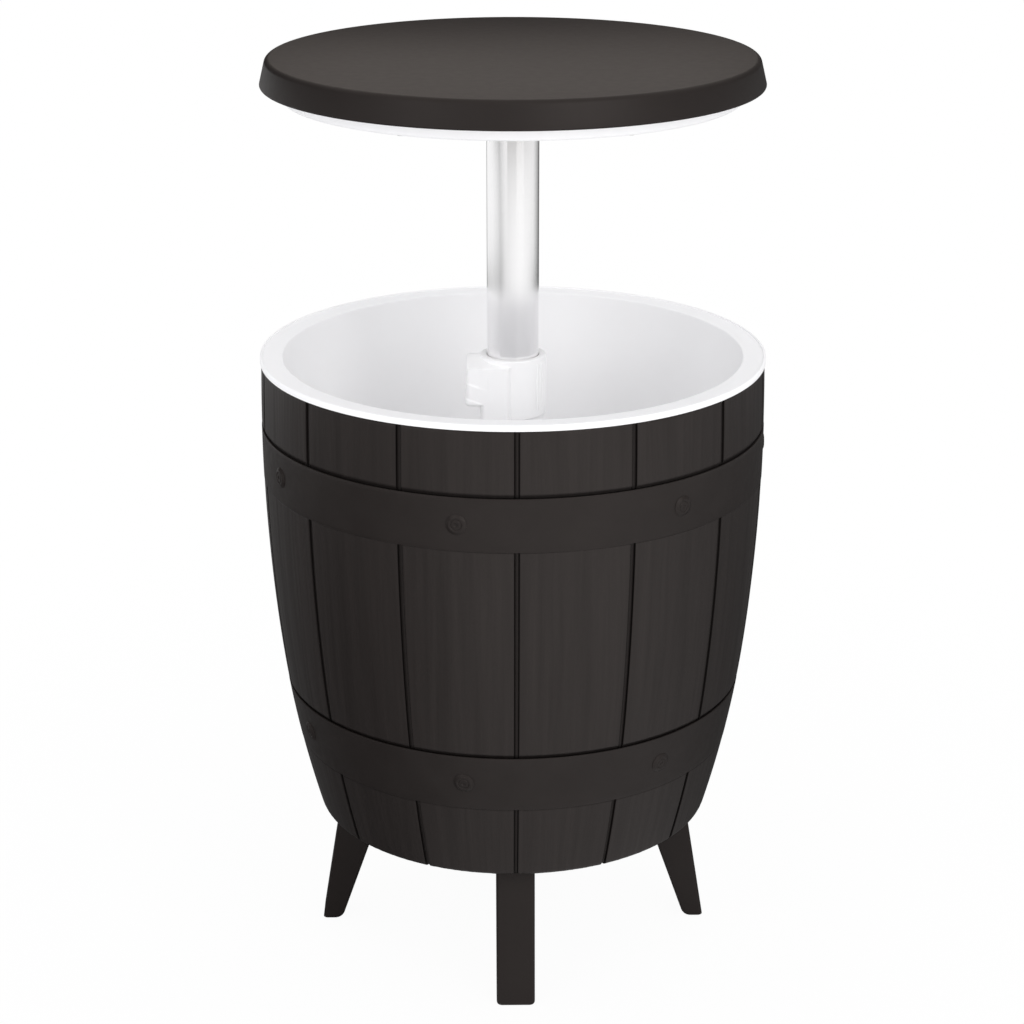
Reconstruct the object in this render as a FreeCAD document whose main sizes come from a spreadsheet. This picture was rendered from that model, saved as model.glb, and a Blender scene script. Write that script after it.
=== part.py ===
import FreeCAD, Part
import math
import os

import Sketcher
from FreeCAD import Placement, Rotation, Vector

doc = FreeCAD.newDocument("CoolerTable")
sheet = doc.addObject("Spreadsheet::Sheet", "Dims")

# Sizes in millimetres, angles in degrees, heights measured from the floor.
sizes = {
    # Barrel wall
    "rim_height": 574.0,
    "rim_radius": 230.0,
    "flange_edge": 5.5,
    "shell_bottom": 133.0,
    "shell_wall": 3.6,
    "belly_height": 505.0,
    "belly_radius": 230.05,
    "top_bulge": 1900.0,
    "waist_height": 300.0,
    "waist_bulge": 1730.0,
    "foot_bulge": 1035.0,
    "bottom_rounding": 7.0,
    "stave_count": 14,
    "groove_angle": 1.25,
    "groove_depth": 1.8,
    "shell_ledge_wall": 3.0,
    "shell_ledge_width": 14.0,
    "shell_foot_ledge": 16.0,
    # Hoops and rivets
    "hoop_proud": 0.2,
    "hoop_gap": 0.1,
    "hoop_recess": 1.4,
    "hoop_groove": 2.2,
    "upper_hoop_low": 461.0,
    "upper_hoop_high": 509.3,
    "lower_hoop_low": 208.0,
    "lower_hoop_high": 262.1,
    "rivets_per_hoop": 7,
    "rivet_radius": 9.3,
    "rivet_proud": 1.9,
    "rivet_edge": 0.3,
    "rivet_ring": 5.0,
    "rivet_ring_width": 0.8,
    "rivet_ring_depth": 0.5,
    "rivet_pip": 1.6,
    "rivet_pip_depth": 0.6,
    "rivet_shank": 2.5,
    "rivet_shank_length": 3.2,
    "rivet_clearance": 0.1,
    # Tub
    "mouth_radius": 209.0,
    "ledge_drop": 1.2,
    "lip_width": 2.0,
    "mouth_rounding": 3.0,
    "tub_floor": 305.0,
    "tub_floor_radius": 178.0,
    "tub_wall": 3.0,
    "tub_floor_rounding": 12.0,
    "column_radius": 28.2,
    "column_bore": 25.2,
    "column_top": 556.0,
    "socket_wall": 3.0,
    "socket_depth": 12.0,
    "socket_gap": 0.3,
    "tub_screw_count": 8,
    "tub_screw_circle": 220.5,
    "tub_screw_length": 6.0,
    "flange_rounding": 1.5,
    # Guide tube and base
    "base_thickness": 5.0,
    "base_gap": 0.3,
    "base_vent_radius": 18.0,
    "base_screw_count": 8,
    "base_screw_circle": 168.5,
    "base_screw_turn": 22.5,
    "base_screw_length": 9.0,
    "base_screw_sink": 2.9,
    # Legs
    "leg_reach": 186.0,
    "leg_shoulder_reach": 164.5,
    "leg_foot_depth": 18.6,
    "leg_shoulder_depth": 43.6,
    "leg_width": 35.2,
    "leg_corner": 3.0,
    "leg_toe_rounding": 3.0,
    "leg_heel_rounding": 7.0,
    "tenon_depth": 22.0,
    "tenon_width": 24.0,
    "tenon_height": 24.0,
    "tenon_reach": 154.0,
    "tenon_gap": 0.2,
    "tenon_box_wall": 3.0,
    "bolt_radius": 3.0,
    "bolt_length": 30.0,
    "bolt_head_radius": 5.0,
    "bolt_head_height": 4.0,
    "bolt_clearance": 0.2,
    "bolt_washer_radius": 8.0,
    "bolt_washer_thickness": 1.6,
    # Table top
    "table_height": 842.5,
    "table_thickness": 24.3,
    "table_edge_radius": 223.2,
    "table_top_radius": 217.3,
    "table_rounding": 5.0,
    "table_wall": 3.0,
    "skirt_rounding": 1.2,
    # Lid liner
    "liner_radius": 205.0,
    "liner_draft": 1.0,
    "liner_depth": 11.8,
    "liner_wall": 2.5,
    "liner_flange_gap": 1.1,
    "liner_set_up": 0.6,
    "liner_rounding": 3.0,
    "recess_radius": 66.0,
    "recess_draft": 2.0,
    "recess_depth": 12.2,
    "recess_rounding": 1.5,
    "liner_hole_gap": 0.6,
    "liner_screw_count": 6,
    "liner_screw_circle": 188.0,
    "boss_radius": 5.0,
    # Pole and its head
    "pole_radius": 23.5,
    "pole_wall": 1.5,
    "pole_bottom": 434.0,
    "head_wall": 3.5,
    "head_fit": 0.1,
    "head_cap": 3.4,
    "head_sleeve_low": 816.0,
    "head_flange_low": 827.5,
    "head_flange_thickness": 4.0,
    "head_flange_radius": 46.0,
    "head_screw_count": 4,
    "head_screw_circle": 37.0,
    "head_screw_length": 10.0,
    "set_screw_radius": 2.0,
    "set_screw_height": 824.6,
    "set_screw_gap": 0.1,
    # Glide bush and pole end
    "bush_fit": 0.1,
    "bush_length": 104.0,
    "bush_floor": 3.7,
    "bush_mouth": 12.0,
    "end_gap": 0.3,
    "plug_fit": 0.1,
    "plug_length": 26.0,
    "end_washer_radius": 20.0,
    "end_washer_thickness": 2.3,
    "end_screw_radius": 3.0,
    "end_screw_length": 22.0,
    # Collet and collar
    "collet_fit": 0.1,
    "collet_length": 21.7,
    "collet_flange": 3.5,
    "collet_slit": 2.5,
    "collar_radius": 29.9,
    "collar_gap": 0.3,
    "collar_set_down": 5.0,
    "collar_height": 54.0,
    "collar_mouth_gap": 0.4,
    "lug_reach": 43.5,
    "lug_inset": 4.0,
    "lug_front": 33.0,
    "lug_height": 34.0,
    "lug_step": 10.5,
    "lug_step_height": 2.4,
    "lug_step_depth": 1.8,
    "lug_rounding": 2.5,
    "lug_top_rounding": 6.0,
    "rib_radius": 0.8,
    "rib_height": 44.0,
    "rib_set_down": 4.0,
    "rib_span": 200.0,
    "rib_count": 26,
    "rib_start": -50.0,
    # Small screws
    "screw_radius": 1.9,
    "screw_length": 12.0,
    "screw_head_radius": 3.8,
    "screw_head_height": 2.6,
    "screw_clearance": 0.15,
    "screw_recess_radius": 1.5,
    "screw_recess_depth": 1.2,
    # Drain
    "drain_offset": 110.0,
    "drain_direction": 45.0,
    "drain_bore": 9.0,
    "drain_wall": 2.8,
    "drain_flange_radius": 20.0,
    "drain_flange_thickness": 2.5,
    "drain_seal_thickness": 1.5,
    "drain_hole_gap": 0.3,
    "drain_outlet": 127.0,
    "drain_nut_radius": 18.0,
    "drain_nut_height": 8.0,
    "plug_stem_length": 14.0,
    "plug_stem_gap": 0.3,
    "plug_head_radius": 15.0,
    "plug_head_height": 9.0,
    "plug_flute_count": 12,
    "plug_flute_radius": 2.4,
    "ring_seal_radius": 1.0,
    "ring_seal_height": 6.0,
    "ring_seal_gap": 0.05,
}

for row, (name, value) in enumerate(sizes.items(), start=1):
    sheet.set(f"A{row}", name)
    sheet.set(f"B{row}", str(value))
    sheet.setAlias(f"B{row}", name)
doc.recompute()


class Size:
    """A number together with the spreadsheet expression that gives it."""

    def __init__(self, value, text):
        self.value = float(value)
        self.text = text

    def __add__(self, other):
        other = sizeOf(other)
        return Size(self.value + other.value, f"({self.text} + {other.text})")

    def __sub__(self, other):
        other = sizeOf(other)
        return Size(self.value - other.value, f"({self.text} - {other.text})")

    def __mul__(self, other):
        other = sizeOf(other)
        return Size(self.value * other.value, f"({self.text} * {other.text})")

    def __truediv__(self, other):
        other = sizeOf(other)
        return Size(self.value / other.value, f"({self.text} / {other.text})")

    def __neg__(self):
        return Size(-self.value, f"(-1 * {self.text})")


def sizeOf(number):
    return number if isinstance(number, Size) else Size(number, repr(float(number)))


def root(size):
    return Size(math.sqrt(size.value), f"sqrt({size.text})")


def angleOfSine(size):
    return Size(math.degrees(math.asin(size.value)), f"asin({size.text})")


def cosine(size):
    return Size(math.cos(math.radians(size.value)), f"cos({size.text})")


def sine(size):
    return Size(math.sin(math.radians(size.value)), f"sin({size.text})")


class Dims:
    """Reads a named size from the spreadsheet."""

    def __getattr__(self, name):
        return Size(sheet.get(name), f"Dims.{name}")


d = Dims()
ZERO = sizeOf(0)


def bind(thing, path, size):
    """Sets a property from a size and keeps it bound to the spreadsheet."""
    thing.setExpression(path, sizeOf(size).text)


def newBody(name):
    body = doc.addObject("PartDesign::Body", name)
    body.Label = name
    return body


def originPart(body, role):
    return next(item for item in body.Origin.OriginFeatures if item.Role == role)


def newSketch(body, name, plane="XZ_Plane", right=ZERO, up=ZERO, out=ZERO, turn=ZERO):
    """Sketch on one of the body's own planes, moved right, up and out in that plane, then turned."""
    sketch = body.newObject("Sketcher::SketchObject", name)
    sketch.AttachmentSupport = [(originPart(body, plane), "")]
    sketch.MapMode = "FlatFace"
    turned = Rotation(Vector(0, 0, 1), turn.value)
    sketch.AttachmentOffset = Placement(Vector(right.value, up.value, out.value), turned)
    for path, size in (("Base.x", right), ("Base.y", up), ("Base.z", out), ("Rotation.Angle", turn)):
        if size is not ZERO:
            bind(sketch, f"AttachmentOffset.{path}", size)
    return sketch


def pinPoint(sketch, edge, end, right, up):
    """Holds one end of an edge at a place given by sizes."""
    for axis, kind, other, size in (("x", "DistanceX", -2, right), ("y", "DistanceY", -1, up)):
        if size.value == 0:
            sketch.addConstraint(Sketcher.Constraint("PointOnObject", edge, end, other))
            continue
        number = sketch.addConstraint(Sketcher.Constraint(kind, -1, 1, edge, end, size.value))
        sketch.renameConstraint(number, f"{axis}{edge}_{sketch.ConstraintCount}")
        bind(sketch, f"Constraints[{number}]", size)


def arcBetween(first, last, radius):
    """Arc of the radius from the first point to the last; it turns left if the radius is positive."""
    chord = last - first
    half = chord.Length / 2
    size = abs(radius)
    side = Vector(-chord.y, chord.x, 0).normalize()
    reach = math.sqrt(max(size * size - half * half, 0))
    centre = first + chord * 0.5 + side * (reach if radius > 0 else -reach)
    begin, finish = (first, last) if radius > 0 else (last, first)
    start = math.atan2(begin.y - centre.y, begin.x - centre.x)
    stop = math.atan2(finish.y - centre.y, finish.x - centre.x)
    return Part.ArcOfCircle(Part.Circle(centre, Vector(0, 0, 1), size), start, stop)


def outline(sketch, points):
    """Closed outline through the points. A point is (right, up) or (right, up, radius of the arc to
    the next point); a radius below zero turns the arc to the right."""
    corners = [(sizeOf(point[0]), sizeOf(point[1])) for point in points]
    places = [Vector(right.value, up.value, 0) for right, up in corners]
    ends = []
    for number, point in enumerate(points):
        here, there = places[number], places[(number + 1) % len(places)]
        if len(point) == 2:
            edge = sketch.addGeometry(Part.LineSegment(here, there), False)
            ends.append((edge, 1, 2))
        else:
            radius = sizeOf(point[2])
            edge = sketch.addGeometry(arcBetween(here, there, radius.value), False)
            ends.append((edge, 1, 2) if radius.value > 0 else (edge, 2, 1))
    for number, (edge, begin, finish) in enumerate(ends):
        follower, its_begin, its_finish = ends[(number + 1) % len(ends)]
        sketch.addConstraint(Sketcher.Constraint("Coincident", edge, finish, follower, its_begin))
    for (edge, begin, finish), (right, up) in zip(ends, corners):
        pinPoint(sketch, edge, begin, right, up)
    for (edge, begin, finish), point in zip(ends, points):
        if len(point) == 3:
            radius = sizeOf(point[2])
            radius = radius if radius.value > 0 else -radius
            number = sketch.addConstraint(Sketcher.Constraint("Radius", edge, radius.value))
            bind(sketch, f"Constraints[{number}]", radius)
    return sketch


def rectangle(sketch, left, low, right, high):
    return outline(sketch, [(left, low), (right, low), (right, high), (left, high)])


def circle(sketch, right, up, radius):
    right, up, radius = sizeOf(right), sizeOf(up), sizeOf(radius)
    place = Vector(right.value, up.value, 0)
    edge = sketch.addGeometry(Part.Circle(place, Vector(0, 0, 1), radius.value), False)
    pinPoint(sketch, edge, 3, right, up)
    number = sketch.addConstraint(Sketcher.Constraint("Radius", edge, radius.value))
    bind(sketch, f"Constraints[{number}]", radius)
    return sketch


def revolve(body, sketch, name, axis="V_Axis"):
    feature = body.newObject("PartDesign::Revolution", name)
    feature.Profile = sketch
    feature.ReferenceAxis = (sketch, [axis])
    feature.Angle = 360
    finishFeature(body, feature)
    return feature


def finishFeature(body, feature):
    doc.recompute()
    if "Invalid" in feature.State or "Error" in feature.State:
        raise RuntimeError(f"{body.Label}: {feature.Label} failed")
    body.Tip = feature


def cutCheck(body, feature, before):
    finishFeature(body, feature)
    if not feature.Shape.Volume < before - 1e-3:
        raise RuntimeError(f"{body.Label}: {feature.Label} cut nothing")


def grooveRound(body, sketch, name, angle=None, axis="V_Axis"):
    """Cuts the sketch round its axis, the whole way or over an angle centred on the sketch."""
    before = body.Tip.Shape.Volume
    feature = body.newObject("PartDesign::Groove", name)
    feature.Profile = sketch
    feature.ReferenceAxis = (sketch, [axis])
    if angle is None:
        feature.Angle = 360
    else:
        feature.Midplane = True
        feature.Angle = angle.value
        bind(feature, "Angle", angle)
    cutCheck(body, feature, before)
    return feature


def pad(body, sketch, name, length, midplane=False, reversed=False):
    feature = body.newObject("PartDesign::Pad", name)
    feature.Profile = sketch
    feature.Midplane = midplane
    feature.Reversed = reversed
    bind(feature, "Length", length)
    finishFeature(body, feature)
    return feature


def pocket(body, sketch, name, length, midplane=False, reversed=False):
    before = body.Tip.Shape.Volume
    feature = body.newObject("PartDesign::Pocket", name)
    feature.Profile = sketch
    feature.Midplane = midplane
    feature.Reversed = reversed
    bind(feature, "Length", length)
    cutCheck(body, feature, before)
    return feature


def around(body, features, name, count):
    """Repeats features in equal steps round the vertical axis."""
    feature = body.newObject("PartDesign::PolarPattern", name)
    feature.Originals = features
    feature.Axis = (originPart(body, "Z_Axis"), [""])
    feature.Angle = 360
    feature.Occurrences = int(count.value)
    bind(feature, "Occurrences", count)
    finishFeature(body, feature)
    return feature


def roundEdges(body, name, radius, wanted):
    """Rounds the edges of the body that the wanted function picks."""
    base = body.Tip
    picked = [f"Edge{n}" for n, edge in enumerate(base.Shape.Edges, start=1) if wanted(edge)]
    if not picked:
        raise RuntimeError(f"{body.Label}: no edge for {name}")
    feature = body.newObject("PartDesign::Fillet", name)
    feature.Base = (base, picked)
    bind(feature, "Radius", radius)
    finishFeature(body, feature)
    return feature


def isCircleAt(edge, radius, height):
    """True for a level circular edge of the radius at the height, centred on the vertical axis."""
    curve = edge.Curve
    return (
        isinstance(curve, Part.Circle)
        and abs(curve.Radius - radius.value) < 0.01
        and abs(curve.Center.z - height.value) < 0.01
        and math.hypot(curve.Center.x, curve.Center.y) < 0.01
    )


# Heights and radii that several pieces share
shellTop = d.rim_height - d.flange_edge
ledgeHeight = d.rim_height - d.ledge_drop
skirtLow = d.table_height - d.table_thickness
poleBore = d.pole_radius - d.pole_wall
waistSine = (d.belly_height - d.waist_height) / d.waist_bulge
waistCosine = root(sizeOf(1) - waistSine * waistSine)
waistRadius = d.belly_radius - d.waist_bulge * (sizeOf(1) - waistCosine)
footCentre = waistRadius - d.foot_bulge * waistCosine
footCentreHeight = d.waist_height + d.foot_bulge * waistSine


def barrelRadius(height, offset=ZERO):
    """Radius of the barrel's outside at a height, moved outward by the offset."""
    if height.value > d.belly_height.value:
        bulge, centre, level = d.top_bulge, d.belly_radius - d.top_bulge, d.belly_height
    elif height.value > d.waist_height.value:
        bulge, centre, level = d.waist_bulge, d.belly_radius - d.waist_bulge, d.belly_height
    else:
        bulge, centre, level = d.foot_bulge, footCentre, footCentreHeight
    size = bulge + offset
    drop = height - level
    return centre + root(size * size - drop * drop)


def barrelSlope(height):
    """Angle between the barrel wall and the vertical at a height, leaning out going up."""
    if height.value > d.waist_height.value:
        return angleOfSine((d.belly_height - height) / d.waist_bulge)
    return angleOfSine((footCentreHeight - height) / d.foot_bulge)


def barrelSide(low, high, offset):
    """Points up the barrel's outside from low to high, for an outline that runs anticlockwise."""
    points = [(barrelRadius(low, offset), low, bulgeAbove(low) + offset)]
    for joint in (d.waist_height, d.belly_height):
        if low.value < joint.value < high.value:
            points.append((barrelRadius(joint, offset), joint, bulgeAbove(joint) + offset))
    points.append((barrelRadius(high, offset), high))
    return points


def bulgeAbove(height):
    if height.value < d.waist_height.value:
        return d.foot_bulge
    return d.waist_bulge if height.value < d.belly_height.value else d.top_bulge


def barrelSideDown(high, low, offset):
    """The same points from high to low, with each arc turning right."""
    up = barrelSide(low, high, offset)
    down = []
    for number in range(len(up) - 1, 0, -1):
        down.append((up[number][0], up[number][1], -up[number - 1][2]))
    down.append((up[0][0], up[0][1]))
    return down


def smallScrews(name, circleRadius, seat, count, turn=ZERO, length=None):
    """Ring of upright screws with their heads below the seat height."""
    length = length or d.screw_length
    body = newBody(name)
    sketch = newSketch(body, name + "_outline", right=circleRadius)
    head = seat - d.screw_head_height
    outline(sketch, [
        (ZERO, head + d.screw_recess_depth),
        (d.screw_recess_radius, head + d.screw_recess_depth),
        (d.screw_recess_radius, head),
        (d.screw_head_radius, head),
        (d.screw_head_radius, seat),
        (d.screw_radius, seat),
        (d.screw_radius, seat + length - d.screw_radius),
        (ZERO, seat + length),
    ])
    turned = revolve(body, sketch, name + "_one")
    around(body, [turned], name + "_ring", count)
    if turn is not ZERO:
        body.Placement = Placement(Vector(0, 0, 0), Rotation(Vector(0, 0, 1), turn.value))
        bind(body, "Placement.Rotation.Angle", turn)
    return body


def screwHoles(body, name, circleRadius, low, height, count, radius=None, turn=ZERO):
    """Ring of upright holes from the low height up."""
    radius = radius or d.screw_radius + d.screw_clearance
    right = circleRadius * cosine(turn) if turn is not ZERO else circleRadius
    up = circleRadius * sine(turn) if turn is not ZERO else ZERO
    sketch = newSketch(body, name + "_circle", "XY_Plane", out=low)
    circle(sketch, right, up, radius)
    hole = pocket(body, sketch, name + "_hole", height, reversed=True)
    return around(body, [hole], name + "_ring", count)


# Barrel shell: one moulded wall with staves, an inward ledge at the top for the tub and one at the
# foot for the base plate
shell = newBody("barrel_shell")
shellFootTop = d.shell_bottom + d.base_thickness + d.base_gap + d.shell_ledge_wall
footOpening = barrelRadius(d.shell_bottom) - d.bottom_rounding
footLedgeLow = d.shell_bottom + d.base_thickness + d.base_gap
innerOffset = -d.shell_wall
topLedgeLow = shellTop - d.shell_ledge_wall
ledgeInner = barrelRadius(shellTop) - d.shell_ledge_width
footLedgeInner = footOpening - d.shell_foot_ledge
hoopHeights = {
    "lower": (d.lower_hoop_low, d.lower_hoop_high),
    "upper": (d.upper_hoop_low, d.upper_hoop_high),
}
shellPoints = [(footOpening, d.shell_bottom)]
wallFrom = d.shell_bottom
for low, high in hoopHeights.values():    # each hoop lies in a recess that leaves a groove above it
    recessLow, recessHigh = low - d.hoop_gap, high + d.hoop_groove
    shellPoints += barrelSide(wallFrom, recessLow, ZERO)
    shellPoints += barrelSide(recessLow, recessHigh, -d.hoop_recess)
    wallFrom = recessHigh
shellPoints += barrelSide(wallFrom, shellTop, ZERO)
shellPoints += [(ledgeInner, shellTop), (ledgeInner, topLedgeLow)]
shellPoints += barrelSideDown(topLedgeLow, shellFootTop, innerOffset)
shellPoints += [(footLedgeInner, shellFootTop), (footLedgeInner, footLedgeLow), (footOpening, footLedgeLow)]
revolve(shell, outline(newSketch(shell, "shell_outline"), shellPoints), "shell_wall_turned")
roundEdges(shell, "shell_foot_rounding", d.bottom_rounding - 0.5,
           lambda edge: isCircleAt(edge, barrelRadius(d.shell_bottom), d.shell_bottom))
grooveLow = d.shell_bottom
groovePoints = barrelSide(grooveLow, shellTop, -d.groove_depth)
groovePoints += [(d.rim_radius + 5, shellTop), (d.rim_radius + 5, grooveLow)]
grooveSketch = outline(newSketch(shell, "groove_outline", "YZ_Plane"), groovePoints)
stave = grooveRound(shell, grooveSketch, "stave_groove", d.groove_angle)
around(shell, [stave], "stave_grooves", d.stave_count)
screwHoles(shell, "tub_screw", d.tub_screw_circle, topLedgeLow, d.shell_ledge_wall, d.tub_screw_count)
screwHoles(shell, "base_screw", d.base_screw_circle, footLedgeLow, d.shell_ledge_wall,
           d.base_screw_count, turn=d.base_screw_turn)


def rivetSketch(body, name, height):
    """Sketch at a rivet's seat on the hoop, with its first axis pointing square out of the wall."""
    return newSketch(body, name, right=barrelRadius(height, d.hoop_proud), up=height,
                     turn=-barrelSlope(height))


def rivetHoles(body, name, height):
    """Holes square to the barrel wall for the rivet shanks of one hoop."""
    sketch = rivetSketch(body, name + "_outline", height)
    reach = d.rivet_shank_length + 2
    rectangle(sketch, -reach, ZERO, d.rivet_proud, d.rivet_shank + d.rivet_clearance)
    hole = grooveRound(body, sketch, name + "_hole", axis="H_Axis")
    around(body, [hole], name + "_ring", d.rivets_per_hoop)


hoopBack = d.hoop_gap - d.hoop_recess
hoops, rivets = [], []
for side, (low, high) in hoopHeights.items():
    middle = (low + high) / 2
    rivetHoles(shell, side + "_rivet", middle)

    # Band that lies in the recess of the staves, pierced for its rivets
    hoop = newBody(side + "_hoop")
    points = barrelSide(low, high, d.hoop_proud) + barrelSideDown(high, low, hoopBack)
    revolve(hoop, outline(newSketch(hoop, side + "_hoop_outline"), points), side + "_hoop_turned")
    rivetHoles(hoop, side + "_hoop_rivet", middle)
    hoops.append(hoop)

    # Flat domed rivets with a ring and a pip in the head, one on every second stave
    body = newBody(side + "_rivets")
    sketch = rivetSketch(body, side + "_rivet_outline", middle)
    ringInner, ringOuter = d.rivet_ring - d.rivet_ring_width, d.rivet_ring
    outline(sketch, [
        (-d.rivet_shank_length, ZERO),
        (d.rivet_proud - d.rivet_pip_depth, ZERO),
        (d.rivet_proud - d.rivet_pip_depth, d.rivet_pip),
        (d.rivet_proud, d.rivet_pip),
        (d.rivet_proud, ringInner),
        (d.rivet_proud - d.rivet_ring_depth, ringInner),
        (d.rivet_proud - d.rivet_ring_depth, ringOuter),
        (d.rivet_proud, ringOuter),
        (d.rivet_edge, d.rivet_radius),
        (ZERO, d.rivet_radius),
        (ZERO, d.rivet_shank),
        (-d.rivet_shank_length, d.rivet_shank),
    ])
    one = revolve(body, sketch, side + "_rivet_one", axis="H_Axis")
    around(body, [one], side + "_rivet_ring", d.rivets_per_hoop)
    rivets.append(body)

# Inner tub: rim flange over the shell, tapered wall, floor and the column for the pole
tub = newBody("inner_tub")
floorLow = d.tub_floor - d.tub_wall
socketInner = d.column_radius + d.socket_gap
socketOuter = socketInner + d.socket_wall
revolve(tub, outline(newSketch(tub, "tub_outline"), [
    (d.column_bore, floorLow),
    (socketInner, floorLow),
    (socketInner, floorLow - d.socket_depth),
    (socketOuter, floorLow - d.socket_depth),
    (socketOuter, floorLow),
    (d.tub_floor_radius + d.tub_wall, floorLow),
    (d.mouth_radius + d.tub_wall, shellTop),
    (d.rim_radius, shellTop),
    (d.rim_radius, d.rim_height),
    (d.rim_radius - d.lip_width, d.rim_height),
    (d.rim_radius - d.lip_width, ledgeHeight),
    (d.mouth_radius, ledgeHeight),
    (d.tub_floor_radius, d.tub_floor),
    (d.column_radius, d.tub_floor),
    (d.column_radius, d.column_top),
    (d.column_bore, d.column_top),
]), "tub_turned")
roundEdges(tub, "tub_floor_rounding", d.tub_floor_rounding,
           lambda edge: isCircleAt(edge, d.tub_floor_radius, d.tub_floor))
roundEdges(tub, "tub_heel_rounding", d.tub_floor_rounding + d.tub_wall,
           lambda edge: isCircleAt(edge, d.tub_floor_radius + d.tub_wall, floorLow))
roundEdges(tub, "mouth_rounding", d.mouth_rounding,
           lambda edge: isCircleAt(edge, d.mouth_radius, ledgeHeight))
roundEdges(tub, "flange_rounding", d.flange_rounding,
           lambda edge: isCircleAt(edge, d.rim_radius, d.rim_height))
drainRight = d.drain_offset * cosine(d.drain_direction)
drainUp = d.drain_offset * sine(d.drain_direction)
drainOuter = d.drain_bore + d.drain_wall
drainHole = drainOuter + d.drain_hole_gap
drainSketch = newSketch(tub, "drain_circle", "XY_Plane", out=floorLow)
pocket(tub, circle(drainSketch, drainRight, drainUp, drainHole), "drain_hole", d.tub_wall, reversed=True)
screwHoles(tub, "flange_screw", d.tub_screw_circle, shellTop, d.tub_screw_length - d.shell_ledge_wall + 0.2,
           d.tub_screw_count)

tubScrews = smallScrews("tub_screws", d.tub_screw_circle, topLedgeLow, d.tub_screw_count,
                        length=d.tub_screw_length)


def tubeBetween(name, outer, inner, low, high):
    """Upright tube on the pole's axis, made as one cylinder cut from another."""
    outside = doc.addObject("Part::Cylinder", name + "_outside")
    inside = doc.addObject("Part::Cylinder", name + "_inside")
    for cylinder, radius in ((outside, outer), (inside, inner)):
        bind(cylinder, "Radius", radius)
        bind(cylinder, "Height", high - low)
        bind(cylinder, "Placement.Base.z", low)
    tube = doc.addObject("Part::Cut", name)
    tube.Label = name
    tube.Base = outside
    tube.Tool = inside
    return tube


# Guide tube between the tub floor and the base plate
baseTop = d.shell_bottom + d.base_thickness
guideTube = tubeBetween("guide_tube", d.column_radius, d.column_bore, baseTop, floorLow)

# Base plate: closes the barrel, seats the guide tube and takes the legs' tenons in boxes
base = newBody("base_plate")
baseRadius = footOpening - d.base_gap
revolve(base, outline(newSketch(base, "base_outline"), [
    (d.base_vent_radius, d.shell_bottom),
    (baseRadius, d.shell_bottom),
    (baseRadius, baseTop),
    (socketOuter, baseTop),
    (socketOuter, baseTop + d.socket_depth),
    (socketInner, baseTop + d.socket_depth),
    (socketInner, baseTop),
    (d.base_vent_radius, baseTop),
]), "base_turned")
tenonInner = d.tenon_reach - d.tenon_depth
tenonTop = d.shell_bottom + d.tenon_height
boxTop = tenonTop + d.tenon_gap + d.tenon_box_wall
boxGrow = d.tenon_gap + d.tenon_box_wall
boxSketch = rectangle(newSketch(base, "box_outline"), tenonInner - boxGrow, d.shell_bottom,
                      d.tenon_reach + boxGrow, boxTop)
box = pad(base, boxSketch, "tenon_box", d.tenon_width + boxGrow * 2, midplane=True)
around(base, [box], "tenon_boxes", sizeOf(4))
holeSketch = rectangle(newSketch(base, "tenon_hole_outline"), tenonInner - d.tenon_gap,
                       d.shell_bottom - 1, d.tenon_reach + d.tenon_gap, tenonTop + d.tenon_gap)
hole = pocket(base, holeSketch, "tenon_hole", d.tenon_width + d.tenon_gap * 2, midplane=True)
around(base, [hole], "tenon_holes", sizeOf(4))
boltCircle = d.tenon_reach - d.tenon_depth / 2
boltHole = d.bolt_radius + d.bolt_clearance
screwHoles(base, "bolt", boltCircle, tenonTop, d.tenon_box_wall * 2, sizeOf(4), radius=boltHole)
screwHoles(base, "base_screw", d.base_screw_circle, d.shell_bottom, d.base_thickness,
           d.base_screw_count, turn=d.base_screw_turn)
screwHoles(base, "base_screw_sink", d.base_screw_circle, d.shell_bottom, d.base_screw_sink,
           d.base_screw_count, radius=d.screw_head_radius + d.screw_clearance, turn=d.base_screw_turn)
baseDrain = newSketch(base, "drain_circle_base", "XY_Plane", out=d.shell_bottom)
pocket(base, circle(baseDrain, drainRight, drainUp, drainHole), "drain_hole_base", d.base_thickness,
       reversed=True)
baseScrews = smallScrews("base_screws", d.base_screw_circle, d.shell_bottom + d.base_screw_sink,
                         d.base_screw_count, d.base_screw_turn, d.base_screw_length)

# Legs: tapered, splayed, each with a tenon that enters the base plate
legs = []


def isLegEnd(edge, reach):
    """True for the edge across the leg's foot at the reach from the pole's axis."""
    return all(abs(v.X - reach.value) < 0.01 and abs(v.Z) < 0.01 for v in edge.Vertexes)


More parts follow.
